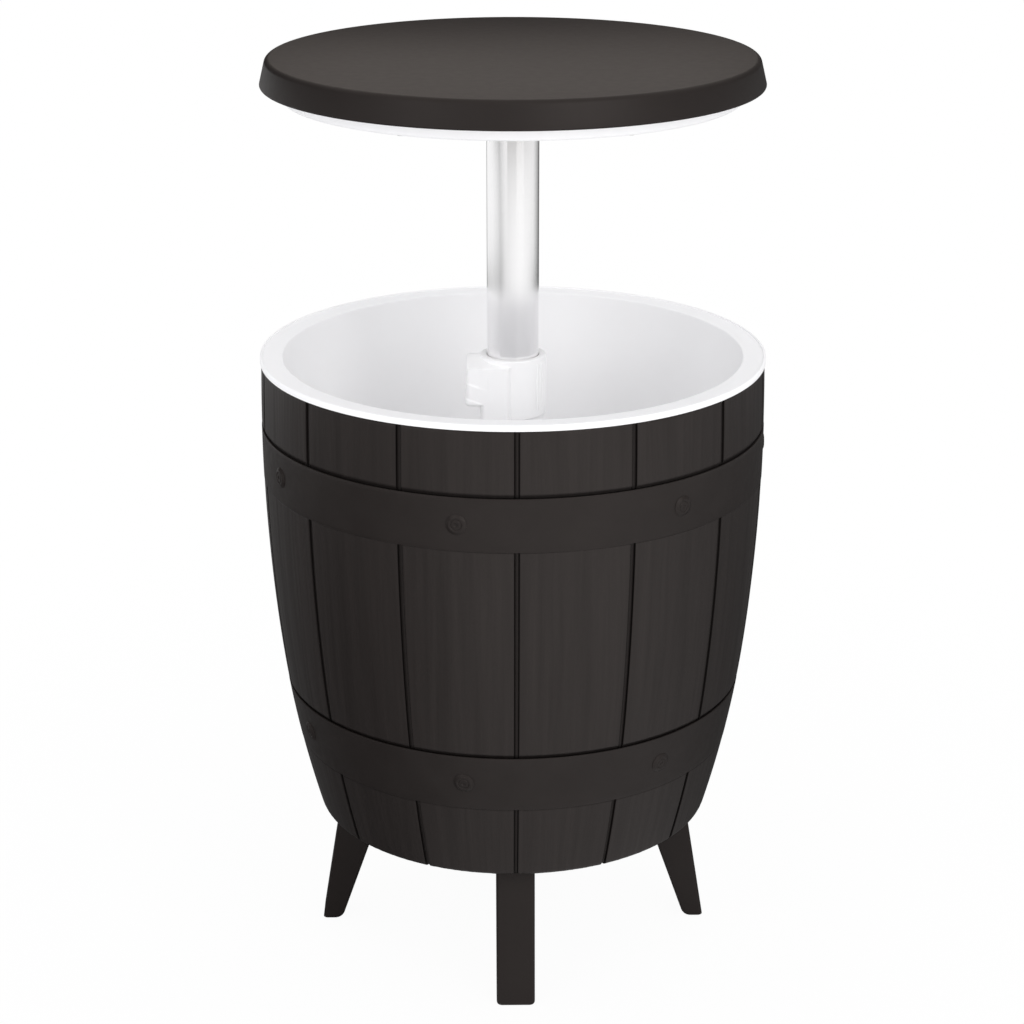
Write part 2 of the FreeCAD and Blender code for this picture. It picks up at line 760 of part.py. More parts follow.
legFootInner = d.leg_reach - d.leg_foot_depth
legShoulderInner = d.leg_shoulder_reach - d.leg_shoulder_depth
for number, side in enumerate(("right", "back", "left", "front")):
    leg = newBody(side + "_leg")
    pad(leg, outline(newSketch(leg, side + "_leg_outline"), [
        (legFootInner, ZERO),
        (d.leg_reach, ZERO),
        (d.leg_shoulder_reach, d.shell_bottom),
        (legShoulderInner, d.shell_bottom),
    ]), side + "_leg_blade", d.leg_width, midplane=True)
    roundEdges(leg, side + "_heel_rounding", d.leg_heel_rounding,
               lambda edge: isLegEnd(edge, legFootInner))
    roundEdges(leg, side + "_toe_rounding", d.leg_toe_rounding,
               lambda edge: isLegEnd(edge, d.leg_reach))
    topEdge = d.shell_bottom.value - 0.01
    halfWidth = d.leg_width.value / 2 - 0.01
    roundEdges(leg, side + "_corner_rounding", d.leg_corner,
               lambda edge: min(abs(v.Y) for v in edge.Vertexes) > halfWidth
               and edge.Vertexes[0].Y * edge.Vertexes[-1].Y > 0
               and min(v.Z for v in edge.Vertexes) < topEdge)
    tenonSketch = rectangle(newSketch(leg, side + "_tenon_outline"), tenonInner,
                            d.shell_bottom - 1, d.tenon_reach, tenonTop)
    pad(leg, tenonSketch, side + "_tenon", d.tenon_width, midplane=True)
    boreSketch = newSketch(leg, side + "_bore_circle", "XY_Plane", out=tenonTop)
    pocket(leg, circle(boreSketch, boltCircle, ZERO, boltHole), side + "_bolt_bore",
           d.bolt_length - d.tenon_box_wall)
    leg.Placement = Placement(Vector(0, 0, 0), Rotation(Vector(0, 0, 1), 90 * number))
    legs.append(leg)


def boltRing(name, points, count):
    """Ring of upright turned pieces over the legs' tenons."""
    body = newBody(name)
    sketch = outline(newSketch(body, name + "_outline", right=boltCircle), points)
    around(body, [revolve(body, sketch, name + "_one")], name + "_ring", sizeOf(count))
    return body


washerTop = boxTop + d.bolt_washer_thickness
legWashers = boltRing("leg_washers", [
    (boltHole, boxTop),
    (d.bolt_washer_radius, boxTop),
    (d.bolt_washer_radius, washerTop),
    (boltHole, washerTop),
], 4)
legBolts = boltRing("leg_bolts", [
    (ZERO, washerTop - d.bolt_length),
    (d.bolt_radius, washerTop - d.bolt_length),
    (d.bolt_radius, washerTop),
    (d.bolt_head_radius, washerTop),
    (d.bolt_head_radius, washerTop + d.bolt_head_height),
    (ZERO, washerTop + d.bolt_head_height),
], 4)

# Table top: plate, drafted skirt, and bosses below for the liner and the pole head
top = newBody("table_top")
plateLow = d.table_height - d.table_wall
linerLow = skirtLow - d.liner_depth
headFlangeTop = d.head_flange_low + d.head_flange_thickness
revolve(top, outline(newSketch(top, "top_outline"), [
    (ZERO, plateLow),
    (d.table_top_radius - d.table_wall, plateLow),
    (d.table_edge_radius - d.table_wall, skirtLow),
    (d.table_edge_radius, skirtLow),
    (d.table_top_radius, d.table_height),
    (ZERO, d.table_height),
]), "top_turned")
roundEdges(top, "top_rounding", d.table_rounding,
           lambda edge: isCircleAt(edge, d.table_top_radius, d.table_height))
roundEdges(top, "skirt_rounding", d.skirt_rounding,
           lambda edge: isCircleAt(edge, d.table_edge_radius, skirtLow))


def bosses(name, circleRadius, low, count, screwLength):
    """Ring of round bosses under the plate, each with a blind screw hole."""
    sketch = newSketch(top, name + "_circle", "XY_Plane", out=low)
    boss = pad(top, circle(sketch, circleRadius, ZERO, d.boss_radius), name + "_boss",
               plateLow - low + d.table_wall / 2)
    around(top, [boss], name + "_bosses", count)
    screwHoles(top, name + "_screw", circleRadius, low, screwLength + 0.5, count)


linerInside = linerLow + d.liner_wall
bosses("liner", d.liner_screw_circle, linerInside, d.liner_screw_count, d.screw_length - d.liner_wall)
bosses("head", d.head_screw_circle, headFlangeTop, d.head_screw_count,
       d.head_screw_length - d.head_flange_thickness)

# Lid liner: plugs into the tub mouth, with a recess in the middle that clears the lock collar
liner = newBody("lid_liner")
sleeveOuter = d.pole_radius + d.head_fit + d.head_wall
linerHole = sleeveOuter + d.liner_hole_gap
recessTop = linerLow + d.recess_depth
linerFlangeLow = skirtLow + d.liner_set_up
linerFlangeRadius = d.table_edge_radius - d.table_wall - d.liner_flange_gap
revolve(liner, outline(newSketch(liner, "liner_outline"), [
    (linerHole, recessTop),
    (d.recess_radius - d.recess_draft, recessTop),
    (d.recess_radius, linerLow),
    (d.liner_radius - d.liner_draft, linerLow),
    (d.liner_radius, linerFlangeLow),
    (linerFlangeRadius, linerFlangeLow),
    (linerFlangeRadius, linerFlangeLow + d.liner_wall),
    (d.liner_radius - d.liner_wall, linerFlangeLow + d.liner_wall),
    (d.liner_radius - d.liner_draft - d.liner_wall, linerInside),
    (d.recess_radius + d.liner_wall, linerInside),
    (d.recess_radius - d.recess_draft + d.liner_wall, recessTop + d.liner_wall),
    (linerHole, recessTop + d.liner_wall),
]), "liner_turned")
roundEdges(liner, "liner_rounding", d.liner_rounding,
           lambda edge: isCircleAt(edge, d.liner_radius - d.liner_draft, linerLow))
roundEdges(liner, "recess_rounding", d.recess_rounding,
           lambda edge: isCircleAt(edge, d.recess_radius, linerLow))
screwHoles(liner, "liner_screw", d.liner_screw_circle, linerLow, d.liner_wall, d.liner_screw_count)
linerScrews = smallScrews("liner_screws", d.liner_screw_circle, linerLow, d.liner_screw_count)

# Pole head: socket under the plate that holds the pole's upper end
head = newBody("pole_head")
sleeveBore = d.pole_radius + d.head_fit
capLow = plateLow - d.head_cap
revolve(head, outline(newSketch(head, "head_outline"), [
    (ZERO, capLow),
    (sleeveBore, capLow),
    (sleeveBore, d.head_sleeve_low),
    (sleeveOuter, d.head_sleeve_low),
    (sleeveOuter, d.head_flange_low),
    (d.head_flange_radius, d.head_flange_low),
    (d.head_flange_radius, headFlangeTop),
    (sleeveOuter, headFlangeTop),
    (sleeveOuter, plateLow),
    (ZERO, plateLow),
]), "head_turned")
screwHoles(head, "head_screw", d.head_screw_circle, d.head_flange_low, d.head_flange_thickness,
           d.head_screw_count)
setHole = d.set_screw_radius + d.set_screw_gap
setSketch = circle(newSketch(head, "set_circle", "YZ_Plane"), ZERO, d.set_screw_height, setHole)
pocket(head, setSketch, "set_screw_holes", d.head_flange_radius * 2, midplane=True)
headScrews = smallScrews("pole_head_screws", d.head_screw_circle, d.head_flange_low,
                         d.head_screw_count, length=d.head_screw_length)

# Pole: plain tube from the glide bush up into the head
pole = newBody("pole_tube")
poleTop = capLow - d.end_gap
revolve(pole, rectangle(newSketch(pole, "pole_outline"), poleBore, d.pole_bottom, d.pole_radius, poleTop),
        "pole_turned")
poleSet = circle(newSketch(pole, "pole_set_circle", "YZ_Plane"), ZERO, d.set_screw_height, setHole)
pocket(pole, poleSet, "pole_set_holes", d.pole_radius * 3, midplane=True)

setScrews = newBody("pole_set_screws")
setOutline = newSketch(setScrews, "set_outline", up=d.set_screw_height)
rectangle(setOutline, poleBore, ZERO, sleeveOuter, d.set_screw_radius)
setOne = revolve(setScrews, setOutline, "set_screw", axis="H_Axis")
around(setScrews, [setOne], "set_screw_pair", sizeOf(2))

# Glide bush: runs in the column bore and carries the pole's lower end
bush = newBody("pole_glide_bush")
bushLow = d.pole_bottom - d.end_gap - d.bush_floor
bushOuter = d.column_bore - d.bush_fit
revolve(bush, outline(newSketch(bush, "bush_outline"), [
    (d.bush_mouth, bushLow),
    (bushOuter, bushLow),
    (bushOuter, bushLow + d.bush_length),
    (d.pole_radius + d.bush_fit, bushLow + d.bush_length),
    (d.pole_radius + d.bush_fit, bushLow + d.bush_floor),
    (d.bush_mouth, bushLow + d.bush_floor),
]), "bush_turned")

# Pole end: plug in the tube, washer under the bush floor and the screw that holds both
endPlug = newBody("pole_end_plug")
noseLow = bushLow - d.end_gap
endHole = d.end_screw_radius + d.bolt_clearance
revolve(endPlug, outline(newSketch(endPlug, "plug_outline"), [
    (endHole, noseLow),
    (d.bush_mouth - d.end_gap, noseLow),
    (d.bush_mouth - d.end_gap, d.pole_bottom),
    (poleBore - d.plug_fit, d.pole_bottom),
    (poleBore - d.plug_fit, d.pole_bottom + d.plug_length),
    (endHole, d.pole_bottom + d.plug_length),
]), "plug_turned")
endWasherLow = noseLow - d.end_washer_thickness
endWasher = tubeBetween("pole_end_washer", d.end_washer_radius, endHole, endWasherLow, noseLow)
endScrew = newBody("pole_end_screw")
revolve(endScrew, outline(newSketch(endScrew, "end_screw_outline"), [
    (ZERO, endWasherLow - d.bolt_head_height),
    (d.bolt_head_radius, endWasherLow - d.bolt_head_height),
    (d.bolt_head_radius, endWasherLow),
    (d.end_screw_radius, endWasherLow),
    (d.end_screw_radius, endWasherLow + d.end_screw_length),
    (ZERO, endWasherLow + d.end_screw_length),
]), "end_screw_turned")

# Lock collet: split ring in the column's top that grips the pole
collet = newBody("lock_collet")
colletLow = d.column_top - d.collet_length
colletTop = d.column_top + d.collet_flange
colletBore = d.pole_radius + d.collet_fit
revolve(collet, outline(newSketch(collet, "collet_outline"), [
    (colletBore, colletLow),
    (d.column_bore - d.collet_fit, colletLow),
    (d.column_bore - d.collet_fit, d.column_top),
    (d.column_radius - d.collet_fit, d.column_top),
    (d.column_radius - d.collet_fit, colletTop),
    (colletBore, colletTop),
]), "collet_turned")
slit = rectangle(newSketch(collet, "slit_outline", "YZ_Plane"), d.pole_radius - 1, colletLow - 1,
                 d.column_radius + 1, colletTop + 1)
pocket(collet, slit, "collet_slit", d.collet_slit, midplane=True)

# Lock collar: turns on the column, with grip ribs and a stepped thumb lug
collar = newBody("lock_collar")
collarTop = d.rim_height - d.collar_set_down
collarLow = collarTop - d.collar_height
collarBore = d.column_radius + d.collar_gap
revolve(collar, rectangle(newSketch(collar, "collar_outline"), ZERO, collarLow, d.collar_radius, collarTop),
        "collar_turned")
lugLow = collarTop - d.lug_height
lugSketch = rectangle(newSketch(collar, "lug_outline", "XY_Plane", out=lugLow), -d.lug_reach,
                      -d.lug_front, -d.lug_inset, ZERO)
pad(collar, lugSketch, "lug", d.lug_height)


def onLug(edge, x=None, y=None, z=None):
    """True if the whole edge lies in the given planes."""
    wanted = (("X", x), ("Y", y), ("Z", z))
    return all(
        size is None or all(abs(getattr(v, axis) - size.value) < 0.01 for v in edge.Vertexes)
        for axis, size in wanted
    )


roundEdges(collar, "lug_top_rounding", d.lug_top_rounding,
           lambda edge: onLug(edge, y=-d.lug_front, z=collarTop) and len(edge.Vertexes) == 2)
roundEdges(collar, "lug_rounding", d.lug_rounding,
           lambda edge: onLug(edge, x=-d.lug_reach, y=-d.lug_front))
for number in (1, 2):
    stepHigh = collarTop - d.lug_step * number
    step = rectangle(newSketch(collar, f"step_{number}_outline"), -d.lug_reach - 1,
                     stepHigh - d.lug_step_height, -d.lug_reach + d.lug_step_depth, stepHigh)
    pocket(collar, step, f"lug_step_{number}", d.lug_front * 3, midplane=True)
ribSketch = newSketch(collar, "rib_circle", "XY_Plane", out=collarTop - d.rib_set_down - d.rib_height)
circle(ribSketch, d.collar_radius * cosine(d.rib_start), d.collar_radius * sine(d.rib_start), d.rib_radius)
rib = pad(collar, ribSketch, "rib", d.rib_height)
ribs = around(collar, [rib], "ribs", d.rib_count)
ribs.Angle = d.rib_span.value
bind(ribs, "Angle", d.rib_span)
boreTop = colletTop + d.collar_gap
grooveRound(collar, outline(newSketch(collar, "collar_bore_outline"), [
    (ZERO, collarLow - 1),
    (collarBore, collarLow - 1),
    (collarBore, boreTop),
    (d.pole_radius + d.collar_mouth_gap, boreTop),
    (d.pole_radius + d.collar_mouth_gap, collarTop + 1),
    (ZERO, collarTop + 1),
]), "collar_bore")


def onDrain(name, points):
    """Turned piece that stands on the drain's upright axis."""
    body = newBody(name)
    revolve(body, outline(newSketch(body, name + "_outline"), points), name + "_turned")
    body.Placement.Base = Vector(drainRight.value, drainUp.value, 0)
    bind(body, "Placement.Base.x", drainRight)
    bind(body, "Placement.Base.y", drainUp)
    return body


# Drain: flanged tube through the tub floor and the base, its seal and nut, and the plug below
drainFlangeLow = d.tub_floor + d.drain_seal_thickness
drainTube = onDrain("drain_tube", [
    (d.drain_bore, d.drain_outlet),
    (drainOuter, d.drain_outlet),
    (drainOuter, drainFlangeLow),
    (d.drain_flange_radius, drainFlangeLow),
    (d.drain_flange_radius, drainFlangeLow + d.drain_flange_thickness),
    (d.drain_bore, drainFlangeLow + d.drain_flange_thickness),
])
drainSeal = onDrain("drain_seal", [
    (drainHole, d.tub_floor),
    (d.drain_flange_radius, d.tub_floor),
    (d.drain_flange_radius, drainFlangeLow),
    (drainHole, drainFlangeLow),
])
nutBlank = doc.addObject("Part::Prism", "drain_nut_blank")
nutBlank.Polygon = 6
nutHole = doc.addObject("Part::Cylinder", "drain_nut_hole")
bind(nutBlank, "Circumradius", d.drain_nut_radius)
bind(nutHole, "Radius", drainHole)
for shape in (nutBlank, nutHole):
    bind(shape, "Height", d.drain_nut_height)
    bind(shape, "Placement.Base.x", drainRight)
    bind(shape, "Placement.Base.y", drainUp)
    bind(shape, "Placement.Base.z", floorLow - d.drain_nut_height)
drainNut = doc.addObject("Part::Cut", "drain_nut")
drainNut.Label = "drain_nut"
drainNut.Base = nutBlank
drainNut.Tool = nutHole

plugHeadTop = d.drain_outlet - d.plug_stem_gap
plugHeadLow = plugHeadTop - d.plug_head_height
stemRadius = d.drain_bore - d.plug_stem_gap
stemTop = d.drain_outlet + d.plug_stem_length
ringCentre = d.drain_bore - d.ring_seal_gap - d.ring_seal_radius
ringHeight = stemTop - d.ring_seal_height
ringHalf = d.ring_seal_radius + d.ring_seal_gap
ringFloor = ringCentre - ringHalf
drainPlug = onDrain("drain_plug", [
    (ZERO, plugHeadLow),
    (d.plug_head_radius, plugHeadLow),
    (d.plug_head_radius, plugHeadTop),
    (stemRadius, plugHeadTop),
    (stemRadius, ringHeight - ringHalf),
    (ringFloor, ringHeight - ringHalf),
    (ringFloor, ringHeight + ringHalf),
    (stemRadius, ringHeight + ringHalf),
    (stemRadius, stemTop),
    (ZERO, stemTop),
])
fluteSketch = newSketch(drainPlug, "flute_circle", "XY_Plane", out=plugHeadLow)
circle(fluteSketch, d.plug_head_radius + d.plug_flute_radius / 2, ZERO, d.plug_flute_radius)
flute = pocket(drainPlug, fluteSketch, "flute", d.plug_head_height, reversed=True)
around(drainPlug, [flute], "flutes", d.plug_flute_count)
plugRing = doc.addObject("Part::Torus", "plug_ring_seal")
plugRing.Label = "plug_ring_seal"
bind(plugRing, "Radius1", ringCentre)
bind(plugRing, "Radius2", d.ring_seal_radius)
bind(plugRing, "Placement.Base.x", drainRight)
bind(plugRing, "Placement.Base.y", drainUp)
bind(plugRing, "Placement.Base.z", ringHeight)

doc.recompute()
pieces = [shell, *hoops, *rivets, tub, tubScrews, guideTube, base, baseScrews, *legs, legWashers, legBolts]
pieces += [top, liner, linerScrews, head, headScrews, pole, setScrews, bush, endPlug, endWasher, endScrew]
pieces += [collet, collar, drainTube, drainSeal, drainNut, drainPlug, plugRing]
for item in doc.Objects:
    if "Invalid" in item.State or "Error" in item.State:
        raise RuntimeError(f"{item.Label} is in state {item.State}")
for piece in pieces:
    if piece.Shape.isNull() or not piece.Shape.isValid() or not piece.Shape.Solids:
        raise RuntimeError(f"{piece.Label} has no sound solid")

os.makedirs("parts", exist_ok=True)
for piece in pieces:
    piece.Shape.exportStep(f"parts/{piece.Label}.step")
    print(piece.Label, len(piece.Shape.Solids), "solid(s)", round(piece.Shape.Volume / 1000, 2), "cm3")
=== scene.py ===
import math

import bpy
import numpy as np
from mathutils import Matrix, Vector


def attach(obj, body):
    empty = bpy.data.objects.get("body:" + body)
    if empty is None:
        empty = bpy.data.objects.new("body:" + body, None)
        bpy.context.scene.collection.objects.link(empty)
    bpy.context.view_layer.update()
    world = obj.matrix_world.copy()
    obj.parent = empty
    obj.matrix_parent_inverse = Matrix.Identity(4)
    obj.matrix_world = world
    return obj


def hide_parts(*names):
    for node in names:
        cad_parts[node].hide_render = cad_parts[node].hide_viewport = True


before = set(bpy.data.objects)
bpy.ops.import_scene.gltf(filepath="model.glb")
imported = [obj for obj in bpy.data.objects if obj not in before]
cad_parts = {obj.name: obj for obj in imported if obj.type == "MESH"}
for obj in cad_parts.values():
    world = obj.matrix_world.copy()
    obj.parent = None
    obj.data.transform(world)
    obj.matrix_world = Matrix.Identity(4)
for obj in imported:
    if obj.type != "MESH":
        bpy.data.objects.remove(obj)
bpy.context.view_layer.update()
mm = 0.001
print("frame loaded:", len(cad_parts), "nodes")


def makeMesh(name, points, quads, tris=None, creaseAngle=32):
    # object at the origin: points in mm become metres, each row of corner numbers becomes a face, and
    # edges that turn more than the crease angle stay sharp
    faces = [quads] if tris is None else [quads, tris]
    corners = np.concatenate([f.ravel() for f in faces])
    counts = np.concatenate([np.full(len(f), f.shape[1]) for f in faces])
    starts = np.concatenate([[0], np.cumsum(counts)[:-1]])
    mesh = bpy.data.meshes.new(name)
    mesh.vertices.add(len(points))
    mesh.vertices.foreach_set("co", (np.asarray(points) * mm).astype(np.float32).ravel())
    mesh.loops.add(len(corners))
    mesh.loops.foreach_set("vertex_index", corners.astype(np.int32))
    mesh.polygons.add(len(counts))
    mesh.polygons.foreach_set("loop_start", starts.astype(np.int32))
    mesh.update(calc_edges=True)
    mesh.validate()
    mesh.polygons.foreach_set("use_smooth", np.ones(len(mesh.polygons), dtype=bool))
    mesh.set_sharp_from_angle(angle=math.radians(creaseAngle))
    piece = bpy.data.objects.new(name, mesh)
    bpy.context.scene.collection.objects.link(piece)
    return piece


def gridQuads(rows, columns, closeRows=False):
    # corner numbers of a grid that closes on itself across its columns, and across its rows if asked
    i = np.arange(rows if closeRows else rows - 1)[:, None]
    j = np.arange(columns)[None, :]
    a = i * columns + j
    b = i * columns + (j + 1) % columns
    c = ((i + 1) % rows) * columns + (j + 1) % columns
    e = ((i + 1) % rows) * columns + j
    return np.stack([a, b, c, e], axis=-1).reshape(-1, 4)


def capTris(rows, columns):
    # fans that close the first and the last row of a grid, round the two points that follow the grid's
    j = np.arange(columns)
    nextJ, last, middle = (j + 1) % columns, (rows - 1) * columns, rows * columns
    return np.vstack([np.stack([middle + 0 * j, nextJ, j], axis=-1),
                      np.stack([middle + 1 + 0 * j, last + j, last + nextJ], axis=-1)])


def aroundAxis(radius, height, angle):
    # points round the pole's axis: x is the radius times the angle's cosine, y times its sine, z the height
    return np.stack([radius * np.cos(angle), radius * np.sin(angle), height + 0 * angle],
                    axis=-1).reshape(-1, 3)


def roundCorners(corners, closed=False, arcStep=0.5):
    # polyline through (x, y, rounding) corners; a rounded corner is an arc tangent to both its sides
    out = []
    for k, (x, y, r) in enumerate(corners):
        here = np.array([x, y], float)
        if r == 0 or (not closed and k in (0, len(corners) - 1)):
            out.append(here)
            continue
        before = np.array(corners[k - 1][:2], float) - here
        after = np.array(corners[(k + 1) % len(corners)][:2], float) - here
        before /= np.linalg.norm(before)
        after /= np.linalg.norm(after)
        half = math.acos(np.clip(before @ after, -1, 1)) / 2
        bisector = (before + after) / np.linalg.norm(before + after)
        centre = here + bisector * r / math.sin(half)
        start = here + before * r / math.tan(half) - centre
        turn = math.pi - 2 * half
        turn *= -np.sign(before[0] * after[1] - before[1] * after[0])
        steps = max(3, int(abs(turn) * r / arcStep))
        angle = np.linspace(0, turn, steps + 1)
        out.extend(np.stack([
            centre[0] + start[0] * np.cos(angle) - start[1] * np.sin(angle),
            centre[1] + start[0] * np.sin(angle) + start[1] * np.cos(angle),
        ], axis=-1))
    return np.array(out)


def turned(name, profile, columns, closed=True, creaseAngle=32):
    # solid of revolution: each profile point (radius, height) swept round the pole's axis.
    # an open profile starts and ends on the axis, where one point closes each end
    angle = np.arange(columns) * 2 * math.pi / columns
    ring = profile if closed else profile[1:-1]
    points = aroundAxis(ring[:, 0][:, None], ring[:, 1][:, None], angle)
    quads = gridQuads(len(ring), columns, closeRows=closed)
    tris = None
    if not closed:
        points = np.vstack([points, [[0, 0, profile[0, 1]], [0, 0, profile[-1, 1]]]])
        tris = capTris(len(ring), columns)
    return makeMesh(name, points, quads, tris, creaseAngle)


def latticeNoise(x, y, seed, cells=128):
    # value noise: random numbers on a lattice, blended smoothly between its points
    table = np.random.default_rng(seed).random((cells, cells)) * 2 - 1
    xi, yi = np.floor(x).astype(int), np.floor(y).astype(int)
    xf, yf = x - xi, y - yi
    xf, yf = xf * xf * (3 - 2 * xf), yf * yf * (3 - 2 * yf)
    x0, x1, y0, y1 = xi % cells, (xi + 1) % cells, yi % cells, (yi + 1) % cells
    low = table[x0, y0] * (1 - xf) + table[x1, y0] * xf
    high = table[x0, y1] * (1 - xf) + table[x1, y1] * xf
    return low * (1 - yf) + high * yf


def newMaterial(name):
    # empty node material with its one shader
    material = bpy.data.materials.new(name)
    material.use_nodes = True
    tree = material.node_tree
    shader = tree.nodes["Principled BSDF"]
    return material, tree, shader


def addNode(tree, kind, settings=None, **links):
    # node of a kind; a link value is a socket to join or a plain value
    node = tree.nodes.new(kind)
    for key, value in (settings or {}).items():
        setattr(node, key, value)
    for key, value in links.items():
        socket = node.inputs[int(key[1:])] if key[0] == "i" and key[1:].isdigit() else node.inputs[key]
        if isinstance(value, bpy.types.NodeSocket):
            tree.links.new(value, socket)
        else:
            socket.default_value = value
    return node


def rampNode(tree, source, stops):
    # colour by a value: straight lines between the stops
    ramp = addNode(tree, "ShaderNodeValToRGB", i0=source)
    elements = ramp.color_ramp.elements
    while len(elements) < len(stops):
        elements.new(0.5)
    for element, (place, colour) in zip(elements, stops):
        element.position = place
        element.color = (*colour, 1) if len(colour) == 3 else colour
    return ramp


def scaled(tree, vector, scale):
    # coordinates times a scale along each axis, so that a pattern is squeezed or stretched
    return addNode(tree, "ShaderNodeMapping", Vector=vector, Scale=scale).outputs[0]


def noise(tree, vector, scale, detail=3.0, rough=0.5):
    # fractal noise, "scale" cells to the metre
    return addNode(tree, "ShaderNodeTexNoise", Vector=vector, Scale=scale, Detail=detail,
                   Roughness=rough).outputs[0]


def bumpOf(tree, height, distance, strength=1.0, normal=None):
    # relief: the normal leans down the slope of height times distance, in metres
    bump = addNode(tree, "ShaderNodeBump", Height=height, Distance=distance, Strength=strength)
    if normal is not None:
        tree.links.new(normal, bump.inputs["Normal"])
    return bump.outputs[0]


noiseSpan = (0.3, 0.7)    # the noises' values that colours and gloss run over; few lie outside


def overSpan(tree, value, low, high):
    # straight line from the low to the high value over the noise's span
    return addNode(tree, "ShaderNodeMapRange", Value=value, i1=noiseSpan[0], i2=noiseSpan[1], i3=low,
                   i4=high).outputs[0]


def spanColours(tree, value, colours):
    # straight blend of two colours over the noise's span
    return rampNode(tree, value, list(zip(noiseSpan, colours))).outputs[0]


resinLook = {    # what the moulded resins share: detail and roughness of each noise
    "cloud": (4.0, 0.55), "gloss": (3.0, 0.5), "grain": (2.0, 0.6), "swell": (2.0, 0.5),
    "glossScale": 0.12, "swellScale": 0.05, "swellDepth": 2.0,    # as shares of the grain's
    "swellStrength": 0.4,
}


def mouldedPlastic(name, colours, rough, grainScale, grainDepth, specular=0.5, cloudScale=9.0,
                   sheen=(1, 1, 1)):
    # moulded plastic: broad faint cloudiness in colour and gloss, and a fine even spark-eroded grain;
    # scales are cells to the metre and depths are metres
    look = resinLook
    material, tree, shader = newMaterial(name)
    spot = addNode(tree, "ShaderNodeTexCoord").outputs["Object"]
    cloud = noise(tree, spot, cloudScale, *look["cloud"])
    tree.links.new(spanColours(tree, cloud, colours), shader.inputs["Base Color"])
    gloss = noise(tree, spot, grainScale * look["glossScale"], *look["gloss"])
    tree.links.new(overSpan(tree, gloss, *rough), shader.inputs["Roughness"])
    grain = noise(tree, spot, grainScale, *look["grain"])
    swell = noise(tree, spot, grainScale * look["swellScale"], *look["swell"])
    low = bumpOf(tree, swell, grainDepth * look["swellDepth"], look["swellStrength"])
    tree.links.new(bumpOf(tree, grain, grainDepth, 1.0, low), shader.inputs["Normal"])
    shader.inputs["Specular IOR Level"].default_value = specular
    shader.inputs["Specular Tint"].default_value = (*sheen, 1)
    return material


# colours of the dark resins, from their darker to their lighter parts
darkColours = (0.0135, 0.0106, 0.0098), (0.0163, 0.0130, 0.0121)
hoopColours = (0.0128, 0.0100, 0.0092), (0.0156, 0.0124, 0.0115)
darkSheen = (1.0, 0.93, 0.90)

staveLook = {    # scales in cells to the metre: across the stave, along it and from stave to stave
    "wanderScale": (14, 5, 1), "wanderDetail": 2.0, "wanderReach": 0.010,
    "wideScale": (110, 4, 1), "wideShare": 0.75, "fineScale": (480, 12, 1), "fineShare": 0.25,
    "streakDetail": 3.0, "streakDepth": 0.00040,
    "colours": [(0.32, (0.0122, 0.0095, 0.0088)), (0.5, (0.0150, 0.0119, 0.0111)),
                (0.68, (0.0180, 0.0144, 0.0134))],
    "specular": 0.34, "rough": (0.47, 0.40),
    "pebbleScale": 1300.0, "pebbleDetail": 2.0, "pebbleDepth": 0.00006, "reliefStrength": 0.7,
}


def woodGrainPlastic(name):
    # moulded stave face: streaks along the stave, drawn out of noise that is squeezed across and stretched
    # along it; "grain" holds (across, along, stave number) in metres, and a second point attribute holds the
    # painted shade of the grooves and hoop lines, the share of colour and gloss left
    look = staveLook
    material, tree, shader = newMaterial(name)
    grainPlace = addNode(tree, "ShaderNodeAttribute", {"attribute_name": "grain"}).outputs["Vector"]
    spot = addNode(tree, "ShaderNodeTexCoord").outputs["Object"]
    wander = noise(tree, scaled(tree, grainPlace, look["wanderScale"]), 1.0, look["wanderDetail"])
    bend = addNode(tree, "ShaderNodeMath", {"operation": "MULTIPLY"}, i0=wander, i1=look["wanderReach"])
    push = addNode(tree, "ShaderNodeCombineXYZ", i0=bend.outputs[0]).outputs[0]
    bent = addNode(tree, "ShaderNodeVectorMath", {"operation": "ADD"}, i0=grainPlace, i1=push).outputs[0]
    wide = noise(tree, scaled(tree, bent, look["wideScale"]), 1.0, look["streakDetail"])
    fine = noise(tree, scaled(tree, bent, look["fineScale"]), 1.0, look["streakDetail"])
    part = addNode(tree, "ShaderNodeMath", {"operation": "MULTIPLY"}, i0=fine, i1=look["fineShare"])
    both = addNode(tree, "ShaderNodeMath", {"operation": "MULTIPLY_ADD"}, i0=wide, i1=look["wideShare"],
                   i2=part.outputs[0]).outputs[0]
    colour = rampNode(tree, both, look["colours"])
    # painted shade: the point attribute darkens the colour and the gloss in the grooves and by the hoops
    paintedShade = addNode(tree, "ShaderNodeAttribute", {"attribute_name": "paintedShade"}).outputs["Fac"]
    colourWithPaintedShade = addNode(tree, "ShaderNodeVectorMath", {"operation": "SCALE"}, i0=colour.outputs[0], Scale=paintedShade)
    tree.links.new(colourWithPaintedShade.outputs[0], shader.inputs["Base Color"])
    gloss = addNode(tree, "ShaderNodeMath", {"operation": "MULTIPLY"}, i0=paintedShade, i1=look["specular"])
    tree.links.new(gloss.outputs[0], shader.inputs["Specular IOR Level"])
    shader.inputs["Specular Tint"].default_value = (*darkSheen, 1)
    tree.links.new(overSpan(tree, both, *look["rough"]), shader.inputs["Roughness"])
    pebble = noise(tree, spot, look["pebbleScale"], look["pebbleDetail"])
    low = bumpOf(tree, both, look["streakDepth"], look["reliefStrength"])
    relief = bumpOf(tree, pebble, look["pebbleDepth"], look["reliefStrength"], low)
    tree.links.new(relief, shader.inputs["Normal"])
    return material


tubeLook = {    # scales in cells to the metre along x, y and the tube
    "lineScale": (12, 12, 1500), "lineDetail": (3.0, 0.6), "lineDepth": 0.000004, "lineStrength": 0.3,
    "glossScale": (60, 60, 3), "glossDetail": 2.0,
    "colours": ((0.96, 0.955, 0.96), (0.985, 0.98, 0.985)), "rough": (0.125, 0.15),
    "stretch": 0.9, "stretchTurn": 0.25,    # how far mirrored things are drawn out, and a quarter turn
}


